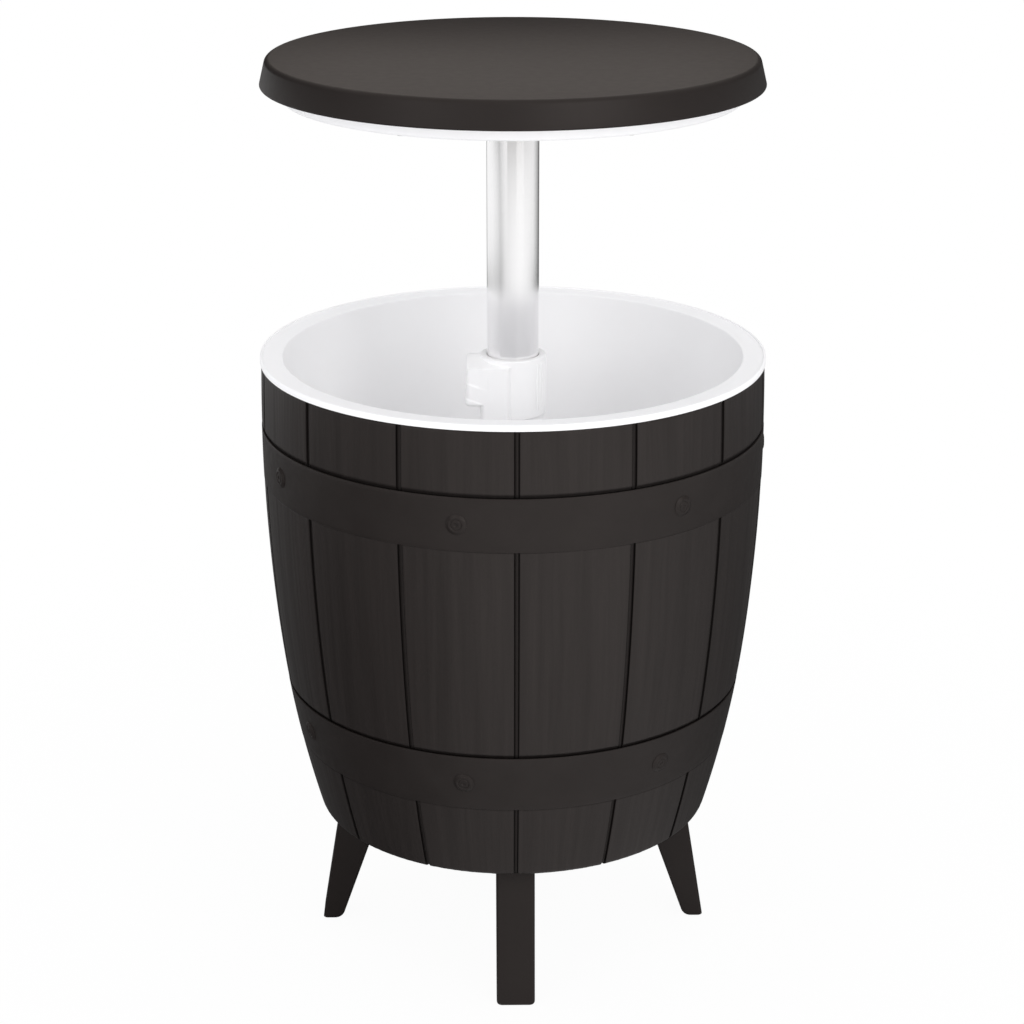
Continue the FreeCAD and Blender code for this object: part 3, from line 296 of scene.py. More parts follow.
def satinTube(name):
    # polished aluminium tube: fine lines round it, which draw out what it mirrors up and down the tube
    look = tubeLook
    material, tree, shader = newMaterial(name)
    spot = addNode(tree, "ShaderNodeTexCoord").outputs["Object"]
    lines = noise(tree, scaled(tree, spot, look["lineScale"]), 1.0, *look["lineDetail"])
    gloss = noise(tree, scaled(tree, spot, look["glossScale"]), 1.0, look["glossDetail"])
    tree.links.new(spanColours(tree, lines, look["colours"]), shader.inputs["Base Color"])
    tree.links.new(overSpan(tree, gloss, *look["rough"]), shader.inputs["Roughness"])
    tree.links.new(bumpOf(tree, lines, look["lineDepth"], look["lineStrength"]), shader.inputs["Normal"])
    shader.inputs["Anisotropic"].default_value = look["stretch"]
    shader.inputs["Anisotropic Rotation"].default_value = look["stretchTurn"]
    shader.inputs["Metallic"].default_value = 1.0
    return material


steelLook = {    # the cloud's scale in cells to the metre, its detail and its roughness
    "cloud": (260.0, 4.0, 0.6), "colours": ((0.45, 0.45, 0.44), (0.68, 0.68, 0.65)), "rough": (0.28, 0.45),
    "depth": 0.00005, "strength": 0.6,
}


def platedSteel(name):
    # zinc plated screws and washers: one clouded pattern drives colour, gloss and relief
    look = steelLook
    material, tree, shader = newMaterial(name)
    spot = addNode(tree, "ShaderNodeTexCoord").outputs["Object"]
    cloud = noise(tree, spot, *look["cloud"])
    tree.links.new(spanColours(tree, cloud, look["colours"]), shader.inputs["Base Color"])
    tree.links.new(overSpan(tree, cloud, *look["rough"]), shader.inputs["Roughness"])
    tree.links.new(bumpOf(tree, cloud, look["depth"], look["strength"]), shader.inputs["Normal"])
    shader.inputs["Metallic"].default_value = 1.0
    return material


finishes = {
    "staveFace": woodGrainPlastic("stave wood grain resin"),
    "darkResin": mouldedPlastic("dark moulded resin", darkColours, rough=(0.42, 0.49), grainScale=1100.0,
                                grainDepth=0.00005, specular=0.25, sheen=darkSheen),
    "hoopResin": mouldedPlastic("dark hoop resin", hoopColours, rough=(0.41, 0.48), grainScale=1100.0,
                                grainDepth=0.00005, specular=0.28, cloudScale=26.0, sheen=darkSheen),
    "lidResin": mouldedPlastic("dark lid resin", darkColours, rough=(0.46, 0.49), grainScale=1000.0,
                               grainDepth=0.00002, specular=0.25, sheen=darkSheen),
    "whiteResin": mouldedPlastic("white tub resin", ((0.885, 0.882, 0.888), (0.91, 0.907, 0.913)),
                                 rough=(0.50, 0.58), grainScale=700.0, grainDepth=0.00002, specular=0.3,
                                 cloudScale=6.0),
    "greyNylon": mouldedPlastic("grey nylon", ((0.17, 0.17, 0.18), (0.23, 0.23, 0.24)),
                                rough=(0.45, 0.58), grainScale=1200.0, grainDepth=0.00004),
    "tube": satinTube("satin aluminium tube"),
    "zinc": platedSteel("zinc plated steel"),
    "rubber": mouldedPlastic("black seal rubber", ((0.014, 0.014, 0.014), (0.022, 0.022, 0.022)),
                             rough=(0.7, 0.85), grainScale=1500.0, grainDepth=0.00005),
}


def dress(thing, finish):
    # gives a piece, or a frame node by its name, one finish in its first material slot
    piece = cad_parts[thing] if isinstance(thing, str) else thing
    piece.data.materials.clear()
    piece.data.materials.append(finishes[finish])
    return piece


def place(piece, body, finish, *nodes):
    # finished piece: it moves with a body and stands for the frame nodes it replaces
    dress(piece, finish)
    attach(piece, body)
    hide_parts(*nodes)
    return piece


print("materials ready")


barrel = {    # lengths in mm; a bulge is the radius of an arc of the wall
    "bellyHeight": 505.0, "bellyRadius": 230.05, "topBulge": 1900.0, "waistHeight": 300.0,
    "waistBulge": 1730.0, "footBulge": 1035.0,
    "bottom": 133.0, "top": 568.5, "bottomRounding": 6.5, "footLift": 12.0, "footArcStep": 1.4,
    "footOpening": 176.67, "footLedgeInner": 160.67, "footLedgeLow": 138.3,
    "wall": 3.6, "innerRows": 9, "ledgeWall": 3.0, "ledgeWidth": 14.0, "ledgeEdge": 0.6,
    "staves": 14, "staveColumns": 62, "rowStep": 7.5, "leastRowStep": 0.3, "lastRows": (2.5, 1.2),
    "fadeFrom": 178.0, "fadeWidth": 4.0,    # radius under the foot where grooves and grain begin
    "grooveReach": [0, 1.0, 1.5, 1.75, 1.95, 2.15, 2.4, 2.8, 3.4],    # from the groove's middle
    "grooveDepth": [1.45, 1.55, 1.85, 1.75, 1.2, 0.6, 0.18, 0.05, 0],
    "groovePaintedShade": [0.7, 0.7, 0.56, 0.34, 0.22, 0.24, 0.5, 0.9, 1],    # painted shade in the grooves: share of the colour and gloss left
    "grainDepth": 0.16, "grainLevel": -0.5,    # in grain depths, inward
    "grainDrift": (26, 130, 9),    # width and length of the grain's bends, and their reach
    "grainRibs": ((3.1, 95, 5, 0.62), (1.55, 48, 7, 0.38)),    # width, length, seed and share of the ribs
    "grainClear": 3.8, "grainGrow": 4.0, "driftSeed": 3, "seedStep": 17.3, "staveStep": 40.0,
}
hoops = {
    "upper": {"low": 461.0, "high": 509.3, "rivetHeight": 485.15, "seed": 11},
    "lower": {"low": 208.0, "high": 262.1, "rivetHeight": 235.05, "seed": 12},
}
# each hoop lies in a recess of the staves, which roll inward above it; painted shade darkens the staves'
# colour in a line above the hoop and faintly along its lower edge
hoopRecess = {
    "depth": 1.45, "roll": 4.6, "flat": 1.0, "below": 0.1, "edge": 0.3,
    # painted shade: darkest share above the hoop and how it fades upward, then the share and reach of the
    # faint painted line along the hoop's lower edge
    "paintedShade": 0.10, "paintedShadePower": 0.8, "lowPaintedShade": 0.55, "lowPaintedShadeReach": 0.7,
    "lowRows": [-2.0, -0.3, -0.1, 0.1, 0.3, 2.0],    # rows round the recess's lower edge
    "highRows": [-2.0, 0, 0.5, 1.0, 1.5, 2.0, 2.6, 3.2, 3.9, 4.6, 5.4],    # rows round the hoop's top
}


def barrelRadius(z):
    # radius at a height: three arcs that meet smoothly at the belly and at the waist
    b = barrel
    waistSine = (b["bellyHeight"] - b["waistHeight"]) / b["waistBulge"]
    waistCosine = math.sqrt(1 - waistSine ** 2)
    footCentre = b["bellyRadius"] - b["waistBulge"] * (1 - waistCosine) - b["footBulge"] * waistCosine
    footLevel = b["waistHeight"] + b["footBulge"] * waistSine
    drop = z - b["bellyHeight"]
    top = b["bellyRadius"] - b["topBulge"] + np.sqrt(b["topBulge"] ** 2 - drop ** 2)
    waist = b["bellyRadius"] - b["waistBulge"] + np.sqrt(b["waistBulge"] ** 2 - drop ** 2)
    foot = footCentre + np.sqrt(b["footBulge"] ** 2 - (z - footLevel) ** 2)
    return np.where(z > b["bellyHeight"], top, np.where(z > b["waistHeight"], waist, foot))


def barrelSlope(z):
    # lean of the wall from the vertical, out going up, in radians
    b = barrel
    waistSine = (b["bellyHeight"] - b["waistHeight"]) / b["waistBulge"]
    footLevel = b["waistHeight"] + b["footBulge"] * waistSine
    if z > b["waistHeight"]:
        return math.asin((b["bellyHeight"] - z) / b["waistBulge"])
    return math.asin((footLevel - z) / b["footBulge"])


def barrelMesh():
    # wall profile swept round the axis; staves are the same sweep pushed in by a groove profile across
    # the seams, by a narrow gap above each hoop and by a shallow stretched noise along the planks
    b = barrel
    footTop = b["bottom"] + b["footLift"]
    foot = roundCorners([(b["footOpening"], b["bottom"], 0),
                         (float(barrelRadius(b["bottom"])), b["bottom"], b["bottomRounding"]),
                         (float(barrelRadius(footTop)), footTop, 0)], arcStep=b["footArcStep"])
    rows = [np.arange(footTop + b["rowStep"], b["top"] - b["lastRows"][0], b["rowStep"])]
    for hoop in hoops.values():
        rows.append(hoop["low"] - hoopRecess["below"] + np.array(hoopRecess["lowRows"]))
        rows.append(hoop["high"] + np.array(hoopRecess["highRows"]))
    rows = np.sort(np.concatenate(rows + [[b["top"] - b["lastRows"][1]]]))
    rows = rows[np.concatenate([[True], np.diff(rows) > b["leastRowStep"]])]
    wall = np.stack([barrelRadius(rows), rows], axis=-1)
    topRadius = float(barrelRadius(b["top"]))
    ledge = np.array([[topRadius - b["ledgeEdge"], b["top"]], [topRadius - b["ledgeWidth"], b["top"]],
                      [topRadius - b["ledgeWidth"], b["top"] - b["ledgeWall"]]])
    inner = np.linspace(b["top"] - b["ledgeWall"], b["footLedgeLow"] + b["ledgeWall"], b["innerRows"])
    inside = np.stack([barrelRadius(inner) - b["wall"], inner], axis=-1)
    footLedge = np.array([[b["footLedgeInner"], b["footLedgeLow"] + b["ledgeWall"]],
                          [b["footLedgeInner"], b["footLedgeLow"]],
                          [b["footOpening"], b["footLedgeLow"]]])
    profile = np.vstack([foot, wall, ledge, inside, footLedge])
    outerRows = len(foot) + len(wall)

    pitch = 2 * math.pi * b["bellyRadius"] / b["staves"]
    reach = np.array(b["grooveReach"])
    face = np.linspace(reach[-1], pitch - reach[-1], b["staveColumns"] + 2)[1:-1]
    across = np.concatenate([reach[:0:-1] * -1, reach, face])
    across = np.sort(np.where(across < 0, across + pitch, across))
    stave = np.repeat(np.arange(b["staves"]), len(across))
    across = np.tile(across, b["staves"])
    angle = -math.pi / 2 + (stave * pitch + across) / b["bellyRadius"]
    fromSeam = np.minimum(across, pitch - across)

    groove = np.interp(fromSeam, reach, b["grooveDepth"])[None, :]
    z = profile[:outerRows, 1][:, None]
    fade = np.clip((profile[:outerRows, 0] - b["fadeFrom"]) / b["fadeWidth"], 0, 1)[:, None]
    # painted shade: besides the real recesses and grooves, the staves' colour and gloss are darkened in a
    # line above each hoop, along each hoop's lower edge and in the grooves
    recess, paintedShade = np.zeros_like(z), np.ones_like(z)
    for hoop in hoops.values():
        low, edge, roll = hoop["low"] - hoopRecess["below"], hoopRecess["edge"], hoopRecess["roll"]
        rise = np.clip((z - low + edge) / (2 * edge), 0, 1)
        up = np.clip((hoop["high"] + roll - z) / (roll - hoopRecess["flat"]), 0, 1)
        recess = np.maximum(recess, hoopRecess["depth"] * rise * up * up * (3 - 2 * up))
        # painted shade above the hoop, darkest at its top edge, and a faint painted line along its lower
        # edge
        above = np.clip((z - hoop["high"]) / roll, 0, 1)
        dark = hoopRecess["paintedShade"] + (1 - hoopRecess["paintedShade"]) * above ** hoopRecess["paintedShadePower"]
        nearLow = np.clip(1 - np.abs(z - low) / hoopRecess["lowPaintedShadeReach"], 0, 1)
        under = 1 - (1 - hoopRecess["lowPaintedShade"]) * nearLow
        paintedShade = np.minimum(paintedShade, np.where(z > hoop["high"] - 1, dark, under))
    staveSeed = stave[None, :] * b["seedStep"]
    along = z + 0 * across[None, :]
    width, length, bend = b["grainDrift"]
    drift = latticeNoise(across[None, :] / width + staveSeed, along / length, b["driftSeed"]) * bend
    grain = b["grainLevel"]
    for width, length, seed, share in b["grainRibs"]:
        ribs = latticeNoise((across[None, :] + drift) / width + staveSeed, along / length, seed)
        grain = grain + share * ribs
    grain = grain * b["grainDepth"]
    nearSeam = np.clip((fromSeam - b["grainClear"]) / b["grainGrow"], 0, 1)[None, :]
    depth = np.maximum(groove, recess) * fade - grain * nearSeam * fade
    # painted shade in the grooves, added on top of their real depth
    paintedShade = paintedShade * np.interp(fromSeam, reach, b["groovePaintedShade"])[None, :]

    slope = np.gradient(profile[:outerRows, 0]), np.gradient(profile[:outerRows, 1])
    length = np.hypot(*slope)
    outR, outZ = (slope[1] / length)[:, None], (-slope[0] / length)[:, None]
    radius = profile[:, 0][:, None] + 0 * across[None, :]
    height = profile[:, 1][:, None] + 0 * across[None, :]
    radius[:outerRows] -= depth * outR
    height[:outerRows] -= depth * outZ
    points = aroundAxis(radius, height, angle)
    quads = gridQuads(len(profile), len(angle), closeRows=True)
    piece = makeMesh("barrelShell", points, quads, creaseAngle=40)
    grainCoordinate = np.stack([across[None, :] + 0 * height, height,
                                stave[None, :] * b["staveStep"] + 0 * height], axis=-1).reshape(-1, 3) * mm
    attribute = piece.data.attributes.new("grain", "FLOAT_VECTOR", "POINT")
    attribute.data.foreach_set("vector", grainCoordinate.astype(np.float32).ravel())
    # the painted shade goes to the material as a point attribute; the inner rows keep their full colour
    light = np.ones_like(radius)
    light[:outerRows] = paintedShade
    attribute = piece.data.attributes.new("paintedShade", "FLOAT", "POINT")
    attribute.data.foreach_set("value", light.astype(np.float32).ravel())
    print("barrel shell:", len(quads) * 2, "triangles")
    return piece


place(barrelMesh(), "barrel", "staveFace", "barrel_shell")


hoopShape = {
    "back": -1.3, "proud": 0.2, "rounding": 0.3, "rows": 13, "columns": 448, "arcStep": 0.2,
    "waviness": 0.04, "waveCells": 126, "waveHeight": 16.0, "waveMargin": 0.1,
}
rivetShape = {
    "perHoop": 7, "columns": 40, "arcStep": 0.15,
    # corners of one half section: distance out from the hoop, distance from the rivet's axis, rounding
    "section": [(-2.8, 0, 0), (-2.8, 2.5, 0.3), (-0.25, 2.5, 0), (-0.25, 9.3, 0), (0.2, 9.3, 0.15),
                (1.8, 6.6, 1.6), (1.8, 5.2, 0.4), (1.4, 4.9, 0.3), (1.4, 4.3, 0.3), (1.8, 3.9, 0.4),
                (1.9, 1.9, 0.3), (1.35, 1.5, 0.3), (1.3, 0, 0)],
}


def hoopMesh(side, low, high, seed):
    # band: the barrel's own curve, flush with the staves, with rounded edges and a slight waviness
    s = hoopShape
    levels = np.linspace(low, high, s["rows"])
    outer = np.stack([barrelRadius(levels) + s["proud"], levels], axis=-1)
    inner = np.stack([barrelRadius(levels[::-1]) + s["back"], levels[::-1]], axis=-1)
    corners = [(*p, 0) for p in np.vstack([outer, inner])]
    for k in (0, s["rows"] - 1):
        corners[k] = (*corners[k][:2], s["rounding"])
    profile = roundCorners(corners, closed=True, arcStep=s["arcStep"])
    angle = np.arange(s["columns"]) * 2 * math.pi / s["columns"]
    radius = profile[:, 0][:, None] + 0 * angle
    height = profile[:, 1][:, None] + 0 * angle
    face = barrelRadius(profile[:, 1]) + s["proud"]
    outside = (profile[:, 0] > face - s["waveMargin"])[:, None]
    lap = angle[None, :] / (2 * math.pi) * s["waveCells"]
    wave = latticeNoise(lap, height / s["waveHeight"], seed)
    radius = radius - outside * (wave * 0.5 + 0.5) * s["waviness"]
    quads = gridQuads(len(profile), len(angle), closeRows=True)
    return makeMesh(side + "Hoop", aroundAxis(radius, height, angle), quads, creaseAngle=40)


def rivetMesh(side, height):
    # one head turned about its own axis, set square to the wall and copied round the hoop
    s = rivetShape
    section = roundCorners(s["section"], arcStep=s["arcStep"])
    ring = section[1:-1]
    turn = np.arange(s["columns"]) * 2 * math.pi / s["columns"]
    outward = ring[:, 0][:, None] + 0 * turn
    sideways = ring[:, 1][:, None] * np.cos(turn)
    upward = ring[:, 1][:, None] * np.sin(turn)
    one = np.stack([outward, sideways, upward], axis=-1).reshape(-1, 3)
    one = np.vstack([one, [[section[0, 0], 0, 0], [section[-1, 0], 0, 0]]])
    lean = barrelSlope(height)
    seat = float(barrelRadius(height)) + hoopShape["proud"]
    radial = seat + one[:, 0] * math.cos(lean) + one[:, 2] * math.sin(lean)
    level = height - one[:, 0] * math.sin(lean) + one[:, 2] * math.cos(lean)
    quads, tris = gridQuads(len(ring), s["columns"]), capTris(len(ring), s["columns"])
    allPoints, allQuads, allTris = [], [], []
    for k in range(s["perHoop"]):
        a = k * 2 * math.pi / s["perHoop"]
        allPoints.append(np.stack([radial * math.cos(a) - one[:, 1] * math.sin(a),
                                   radial * math.sin(a) + one[:, 1] * math.cos(a), level], axis=-1))
        allQuads.append(quads + k * len(one))
        allTris.append(tris + k * len(one))
    return makeMesh(side + "Rivets", np.vstack(allPoints), np.vstack(allQuads), np.vstack(allTris),
                    creaseAngle=45)


for side, hoop in hoops.items():
    place(hoopMesh(side, hoop["low"], hoop["high"], hoop["seed"]), "barrel", "hoopResin", side + "_hoop")
    place(rivetMesh(side, hoop["rivetHeight"]), "barrel", "darkResin", side + "_rivets")
print("hoops and rivets made")


tub = {    # the white tub, which hangs in the barrel by its rim
    "columns": 360, "arcStep": 0.7,
    "section": [    # radius, height, rounding
        (25.2, 302.0, 0), (28.5, 302.0, 0), (28.5, 290.0, 0), (31.5, 290.0, 0), (31.5, 302.0, 0),
        (181.0, 302.0, 15.0), (211.5, 566.0, 0), (212.5, 568.5, 0), (230.0, 568.5, 0.5),
        (230.0, 574.0, 1.2), (227.9, 573.9, 0.4), (227.6, 572.85, 0.4), (209.0, 572.85, 1.8),
        (178.0, 305.0, 12.0), (28.2, 305.0, 4.0), (28.2, 556.0, 0.8), (25.2, 556.0, 0.6),
    ],
    "drainPlace": (77.782, 77.782), "drainHole": 12.1, "drainCut": (295, 312), "drainSides": 64,
}


def cutRound(piece, x, y, radius, low, high, sides):
    # upright round hole through a piece, cut by a boolean that is applied at once
    bpy.ops.mesh.primitive_cylinder_add(vertices=sides, radius=radius * mm, depth=(high - low) * mm,
                                        location=(x * mm, y * mm, (low + high) / 2 * mm))
    cutter = bpy.context.object
    modifier = piece.modifiers.new("hole", "BOOLEAN")
    modifier.object = cutter
    modifier.solver = "EXACT"
    evaluated = piece.evaluated_get(bpy.context.evaluated_depsgraph_get())
    mesh = bpy.data.meshes.new_from_object(evaluated)
    piece.modifiers.clear()
    piece.data = mesh
    bpy.data.objects.remove(cutter)


tubPiece = turned("innerTub", roundCorners(tub["section"], closed=True, arcStep=tub["arcStep"]),
                  tub["columns"], creaseAngle=40)
place(tubPiece, "barrel", "whiteResin", "inner_tub")
cutRound(tubPiece, *tub["drainPlace"], tub["drainHole"], *tub["drainCut"], tub["drainSides"])
print("tub made")


leg = {    # a leg's reach is its distance from the pole's axis
    "width": 35.2, "shoulder": 133.0, "reachFoot": 186.0, "reachShoulder": 164.5,
    "innerFoot": 167.4, "innerShoulder": 120.9, "corner": 3.0,
    "toeRounding": 3.0, "heelRounding": 7.0, "sideRounding": 4.0,
    "tenonInner": 132.0, "tenonReach": 154.0, "tenonWidth": 24.0, "tenonTop": 157.0, "tenonCorner": 1.0,
    "footLevels": [0, 0.15, 0.5, 1.0, 1.7, 2.5, 3.5, 5.0, 7.0], "legLevels": (12, 16), "step": 0.01,
}


def roundedRectangle(left, right, low, high, rounding, steps=6):
    # corner arcs joined by straight sides, anticlockwise, the same count of points whatever the size
    t = np.linspace(0, math.pi / 2, steps + 1)
    parts = []
    for x, y, start in ((right, high, 0), (left, high, 1), (left, low, 2), (right, low, 3)):
        cx = x - rounding if x == right else x + rounding
        cy = y - rounding if y == high else y + rounding
        a = t + start * math.pi / 2
        parts.append(np.stack([cx + rounding * np.cos(a), cy + rounding * np.sin(a)], axis=-1))
    return np.vstack(parts)


def legMesh(name, quarterTurns):
    # level slices of the leg from the floor up: a rounded rectangle between the heel line and the toe
    # line, drawn in near the floor so that the foot's edges are round, then the tenon's slices
    g = leg
    slices = []
    start, count = g["legLevels"]
    levels = np.concatenate([g["footLevels"], np.linspace(start, g["shoulder"], count)])
    for z in levels:
        t = z / g["shoulder"]
        outer = g["reachFoot"] + (g["reachShoulder"] - g["reachFoot"]) * t
        inner = g["innerFoot"] + (g["innerShoulder"] - g["innerFoot"]) * t
        drawn = []
        for r in (g["toeRounding"], g["heelRounding"], g["sideRounding"]):
            drawn.append(r - math.sqrt(max(r * r - max(r - z, 0) ** 2, 0)))
        half = g["width"] / 2 - drawn[2]
        ring = roundedRectangle(inner + drawn[1], outer - drawn[0], -half, half, g["corner"])
        slices.append(np.column_stack([ring, np.full(len(ring), z)]))
    for z in (g["shoulder"] + g["step"], g["tenonTop"]):
        half = g["tenonWidth"] / 2
        ring = roundedRectangle(g["tenonInner"], g["tenonReach"], -half, half, g["tenonCorner"])
        slices.append(np.column_stack([ring, np.full(len(ring), z)]))
    grid = np.array(slices)
    rows, columns = grid.shape[:2]
    points = grid.reshape(-1, 3)
    middleLow, middleHigh = points[:columns].mean(axis=0), points[-columns:].mean(axis=0)
    points = np.vstack([points, middleLow, middleHigh])
    a = quarterTurns * math.pi / 2
    x, y = points[:, 0].copy(), points[:, 1].copy()
    points[:, 0] = x * math.cos(a) - y * math.sin(a)
    points[:, 1] = x * math.sin(a) + y * math.cos(a)
    return makeMesh(name, points, gridQuads(rows, columns), capTris(rows, columns), creaseAngle=38)


for turns, side in enumerate(("right", "back", "left", "front")):
    place(legMesh(side + "Leg", turns), "barrel", "darkResin", side + "_leg")
print("legs made")


lid = {    # sections of the table's turned pieces: radius, height, rounding
    "columns": 420, "arcStep": 0.4,
    "section": [(0, 839.5, 0), (214.0, 839.5, 1.5), (220.2, 818.2, 0.8), (223.2, 818.2, 1.6),
                (217.3, 842.5, 5.0), (0, 842.5, 0)],
}
liner = {
    "columns": 360,
    "section": [(27.7, 818.6, 0.4), (64.0, 818.6, 1.5), (66.0, 806.4, 1.5), (204.0, 806.4, 3.0),
                (205.0, 818.8, 0.6), (219.0, 818.8, 0.5), (219.0, 821.3, 0.5), (202.5, 821.3, 0),
                (201.5, 808.9, 0), (68.5, 808.9, 0), (66.5, 821.1, 0), (27.7, 821.1, 0)],
}
pole = {
    "columns": 160, "arcStep": 0.2,
    "section": [(22.0, 434.0, 0.3), (23.5, 434.0, 0.4), (23.5, 835.9, 0.4), (22.0, 835.9, 0.3)],
}

lidPiece = turned("tableTop", roundCorners(lid["section"], arcStep=lid["arcStep"]), lid["columns"],
                  closed=False)
place(lidPiece, "table", "lidResin", "table_top")
linerPiece = turned("lidLiner", roundCorners(liner["section"], closed=True), liner["columns"])
place(linerPiece, "table", "whiteResin", "lid_liner")
polePiece = turned("poleTube", roundCorners(pole["section"], closed=True, arcStep=pole["arcStep"]),
                   pole["columns"])
place(polePiece, "table", "tube", "pole_tube")
print("table top, liner and pole made")


collar = {    # the turning collar that clamps the pole
    "low": 515.0, "top": 570.3, "radius": 29.9, "bore": 28.5, "boreTop": 559.8, "boreFlare": (0.5, 0.6),
    "mouth": 23.8, "mouthEdge": 0.4, "rounding": 0.9, "angleStep": 0.6,
    # the thumb lug: a soft-cornered block down the front left, with a wing that reaches further left
    "lugLeft": -29.9, "lugRight": -2.5, "lugFront": -33.0, "lugBack": 4.0, "lugSoft": 5.0, "lugTopSoft": 2.0,
    "lugFall": 0.15,    # slope of the lug's top down to the front
    "wingLeft": -43.7, "wingLow": 529.0, "wingSoft": 3.0, "blockSoft": 1.0, "lugBearings": (-70, 160),
    "terraces": [(550.5, 0.7), (536.0, 0.7)],    # steps down the wing's side: height and depth
    "terraceSlope": 0.33, "terraceEdge": 1.3, "terraceEnd": -23.0, "terraceGrow": 9.0,
    "fillet": 0.35, "filletWidth": 2.0, "sampleFrom": 20.0, "sampleTo": 60.0, "sampleStep": 0.12,
    "ribs": (-50.0, 150.0, 26),    # first and last bearing in degrees, and how many
    "ribHeight": 0.75, "ribPower": 0.7, "ribLow": 521.0, "ribHigh": 566.0, "ribEnd": 1.5, "ribFade": 4,
    # heights of the rows: above the low edge, above the wing's low edge, and their steps between
    "lowRows": (1.6, 1.4), "wingRows": [0.01, 0.1, 0.3, 0.7, 1.2, 1.9, 2.9], "midRows": (3.5, 0.6),
    "topRows": (5.0, 0.25), "edgeRows": (5, 6),    # counts round the low and the top edge
}


def lugReach(angle, z, left, low, lowSoft):
    # distance from the pole's axis to a block's outside: along each direction, the furthest sample that
    # is still inside the block, whose corners are rounded and whose upper edge rolls over
    c = collar
    reach = np.arange(c["sampleFrom"], c["sampleTo"], c["sampleStep"])
    x, y = reach * np.cos(angle)[..., None], reach * np.sin(angle)[..., None]
    middleX, halfX = (left + c["lugRight"]) / 2, (c["lugRight"] - left) / 2 - c["lugSoft"]
    middleY, halfY = (c["lugFront"] + c["lugBack"]) / 2, (c["lugBack"] - c["lugFront"]) / 2 - c["lugSoft"]
    dx, dy = np.abs(x - middleX) - halfX, np.abs(y - middleY) - halfY
    outside = np.hypot(np.maximum(dx, 0), np.maximum(dy, 0)) + np.minimum(np.maximum(dx, dy), 0)
    roll = np.clip((z - c["top"] + c["lugTopSoft"]) / c["lugTopSoft"], 0, 1)
    tuck = np.clip((low + lowSoft - z) / lowSoft, 0, 1)
    drawn = c["lugTopSoft"] * (1 - np.sqrt(1 - roll ** 2)) + lowSoft * (1 - np.sqrt(1 - tuck ** 2))
    side = np.clip((c["terraceEnd"] - x) / c["terraceGrow"], 0, 1)
    sunk = np.zeros_like(outside)
    for level, depth in c["terraces"]:
        above = z[..., None] + (x - c["wingLeft"]) * c["terraceSlope"] - level
        sunk = sunk + depth * side * np.clip(above / c["terraceEdge"], 0, 1)
    overTop = z[..., None] - c["top"] + c["lugFall"] * (c["lugBack"] - y)
    signed = np.maximum(outside - c["lugSoft"] + drawn[..., None] + sunk, overTop)
    inside = (signed < 0) & (z[..., None] >= low)
    last = inside.shape[-1] - 1 - inside[..., ::-1].argmax(axis=-1)
    finer = -np.take_along_axis(signed, last[..., None], axis=-1)[..., 0]
    return np.where(inside.any(axis=-1), reach[last] + np.clip(finer, 0, c["sampleStep"]), 0)


def collarMesh():
    # outside on a grid of angle by height: the largest of a ribbed round wall, the lug and its wing,
    # drawn in by a round edge at the top and bottom
    c = collar
    angle = np.radians(np.arange(0, 360, c["angleStep"]))[None, :]
    quarterLow, quarterTop = (np.linspace(0, math.pi / 2, count) for count in c["edgeRows"])
    z = np.concatenate([c["low"] + c["rounding"] * (1 - np.cos(quarterLow)),
                        np.arange(c["low"] + c["lowRows"][0], c["wingLow"], c["lowRows"][1]),
                        c["wingLow"] + np.array(c["wingRows"]),
                        np.arange(c["wingLow"] + c["midRows"][0], c["top"] - c["topRows"][0],
                                  c["midRows"][1]),
                        np.arange(c["top"] - c["topRows"][0], c["top"], c["topRows"][1]),
                        c["top"] - c["rounding"] * (1 - np.sin(quarterTop))])
    z = np.unique(np.round(z, 3))[:, None]
    edge = np.minimum(z - c["low"], c["top"] - z)
    short = np.maximum(c["rounding"] - edge, 0)
    drawn = c["rounding"] - np.sqrt(np.maximum(c["rounding"] ** 2 - short ** 2, 0))
    degrees = (np.degrees(angle) + 180) % 360 - 180
    start, finish, count = c["ribs"]
    fromStart, toFinish = (degrees - start) / c["ribFade"], (finish - degrees) / c["ribFade"]
    within = np.clip(fromStart, 0, 1) * np.clip(toFinish, 0, 1)
    tall = np.clip((z - c["ribLow"]) / c["ribEnd"], 0, 1) * np.clip((c["ribHigh"] - z) / c["ribEnd"], 0, 1)
    wave = np.cos((degrees - start) / (finish - start) * count * 2 * math.pi)
    outer = c["radius"] - drawn + c["ribHeight"] * np.clip(wave, 0, 1) ** c["ribPower"] * within * tall
    lugSide = ((degrees < c["lugBearings"][0]) | (degrees > c["lugBearings"][1]))[0]
    grid = angle[:, lugSide] + 0 * z
    block = lugReach(grid, z, c["lugLeft"], c["low"], c["blockSoft"])
    wing = lugReach(grid, z, c["wingLeft"], c["wingLow"], c["wingSoft"])
    lug = np.maximum(block, wing)
    fillet = np.clip(1 - np.abs(outer[:, lugSide] - lug) / c["filletWidth"], 0, 1) ** 2 * c["fillet"]
    outer[:, lugSide] = np.maximum(outer[:, lugSide], lug) + fillet * (lug > 0)

    flare, flareHeight = c["boreFlare"]
    inner = np.array([[c["mouth"] + c["mouthEdge"], c["top"]], [c["mouth"], c["top"] - c["mouthEdge"]],
                      [c["mouth"], c["boreTop"]], [c["bore"], c["boreTop"]],
                      [c["bore"], c["low"] + flareHeight], [c["bore"] + flare, c["low"]]])
    columns = angle.shape[1]
    radius = np.vstack([outer, inner[:, :1] + np.zeros((1, columns))])
    height = np.vstack([z + 0 * angle, inner[:, 1:] + np.zeros((1, columns))])
    return makeMesh("lockCollar", aroundAxis(radius, height, angle),
                    gridQuads(len(radius), columns, closeRows=True), creaseAngle=42)


place(collarMesh(), "collar", "whiteResin", "lock_collar")
print("collar made")


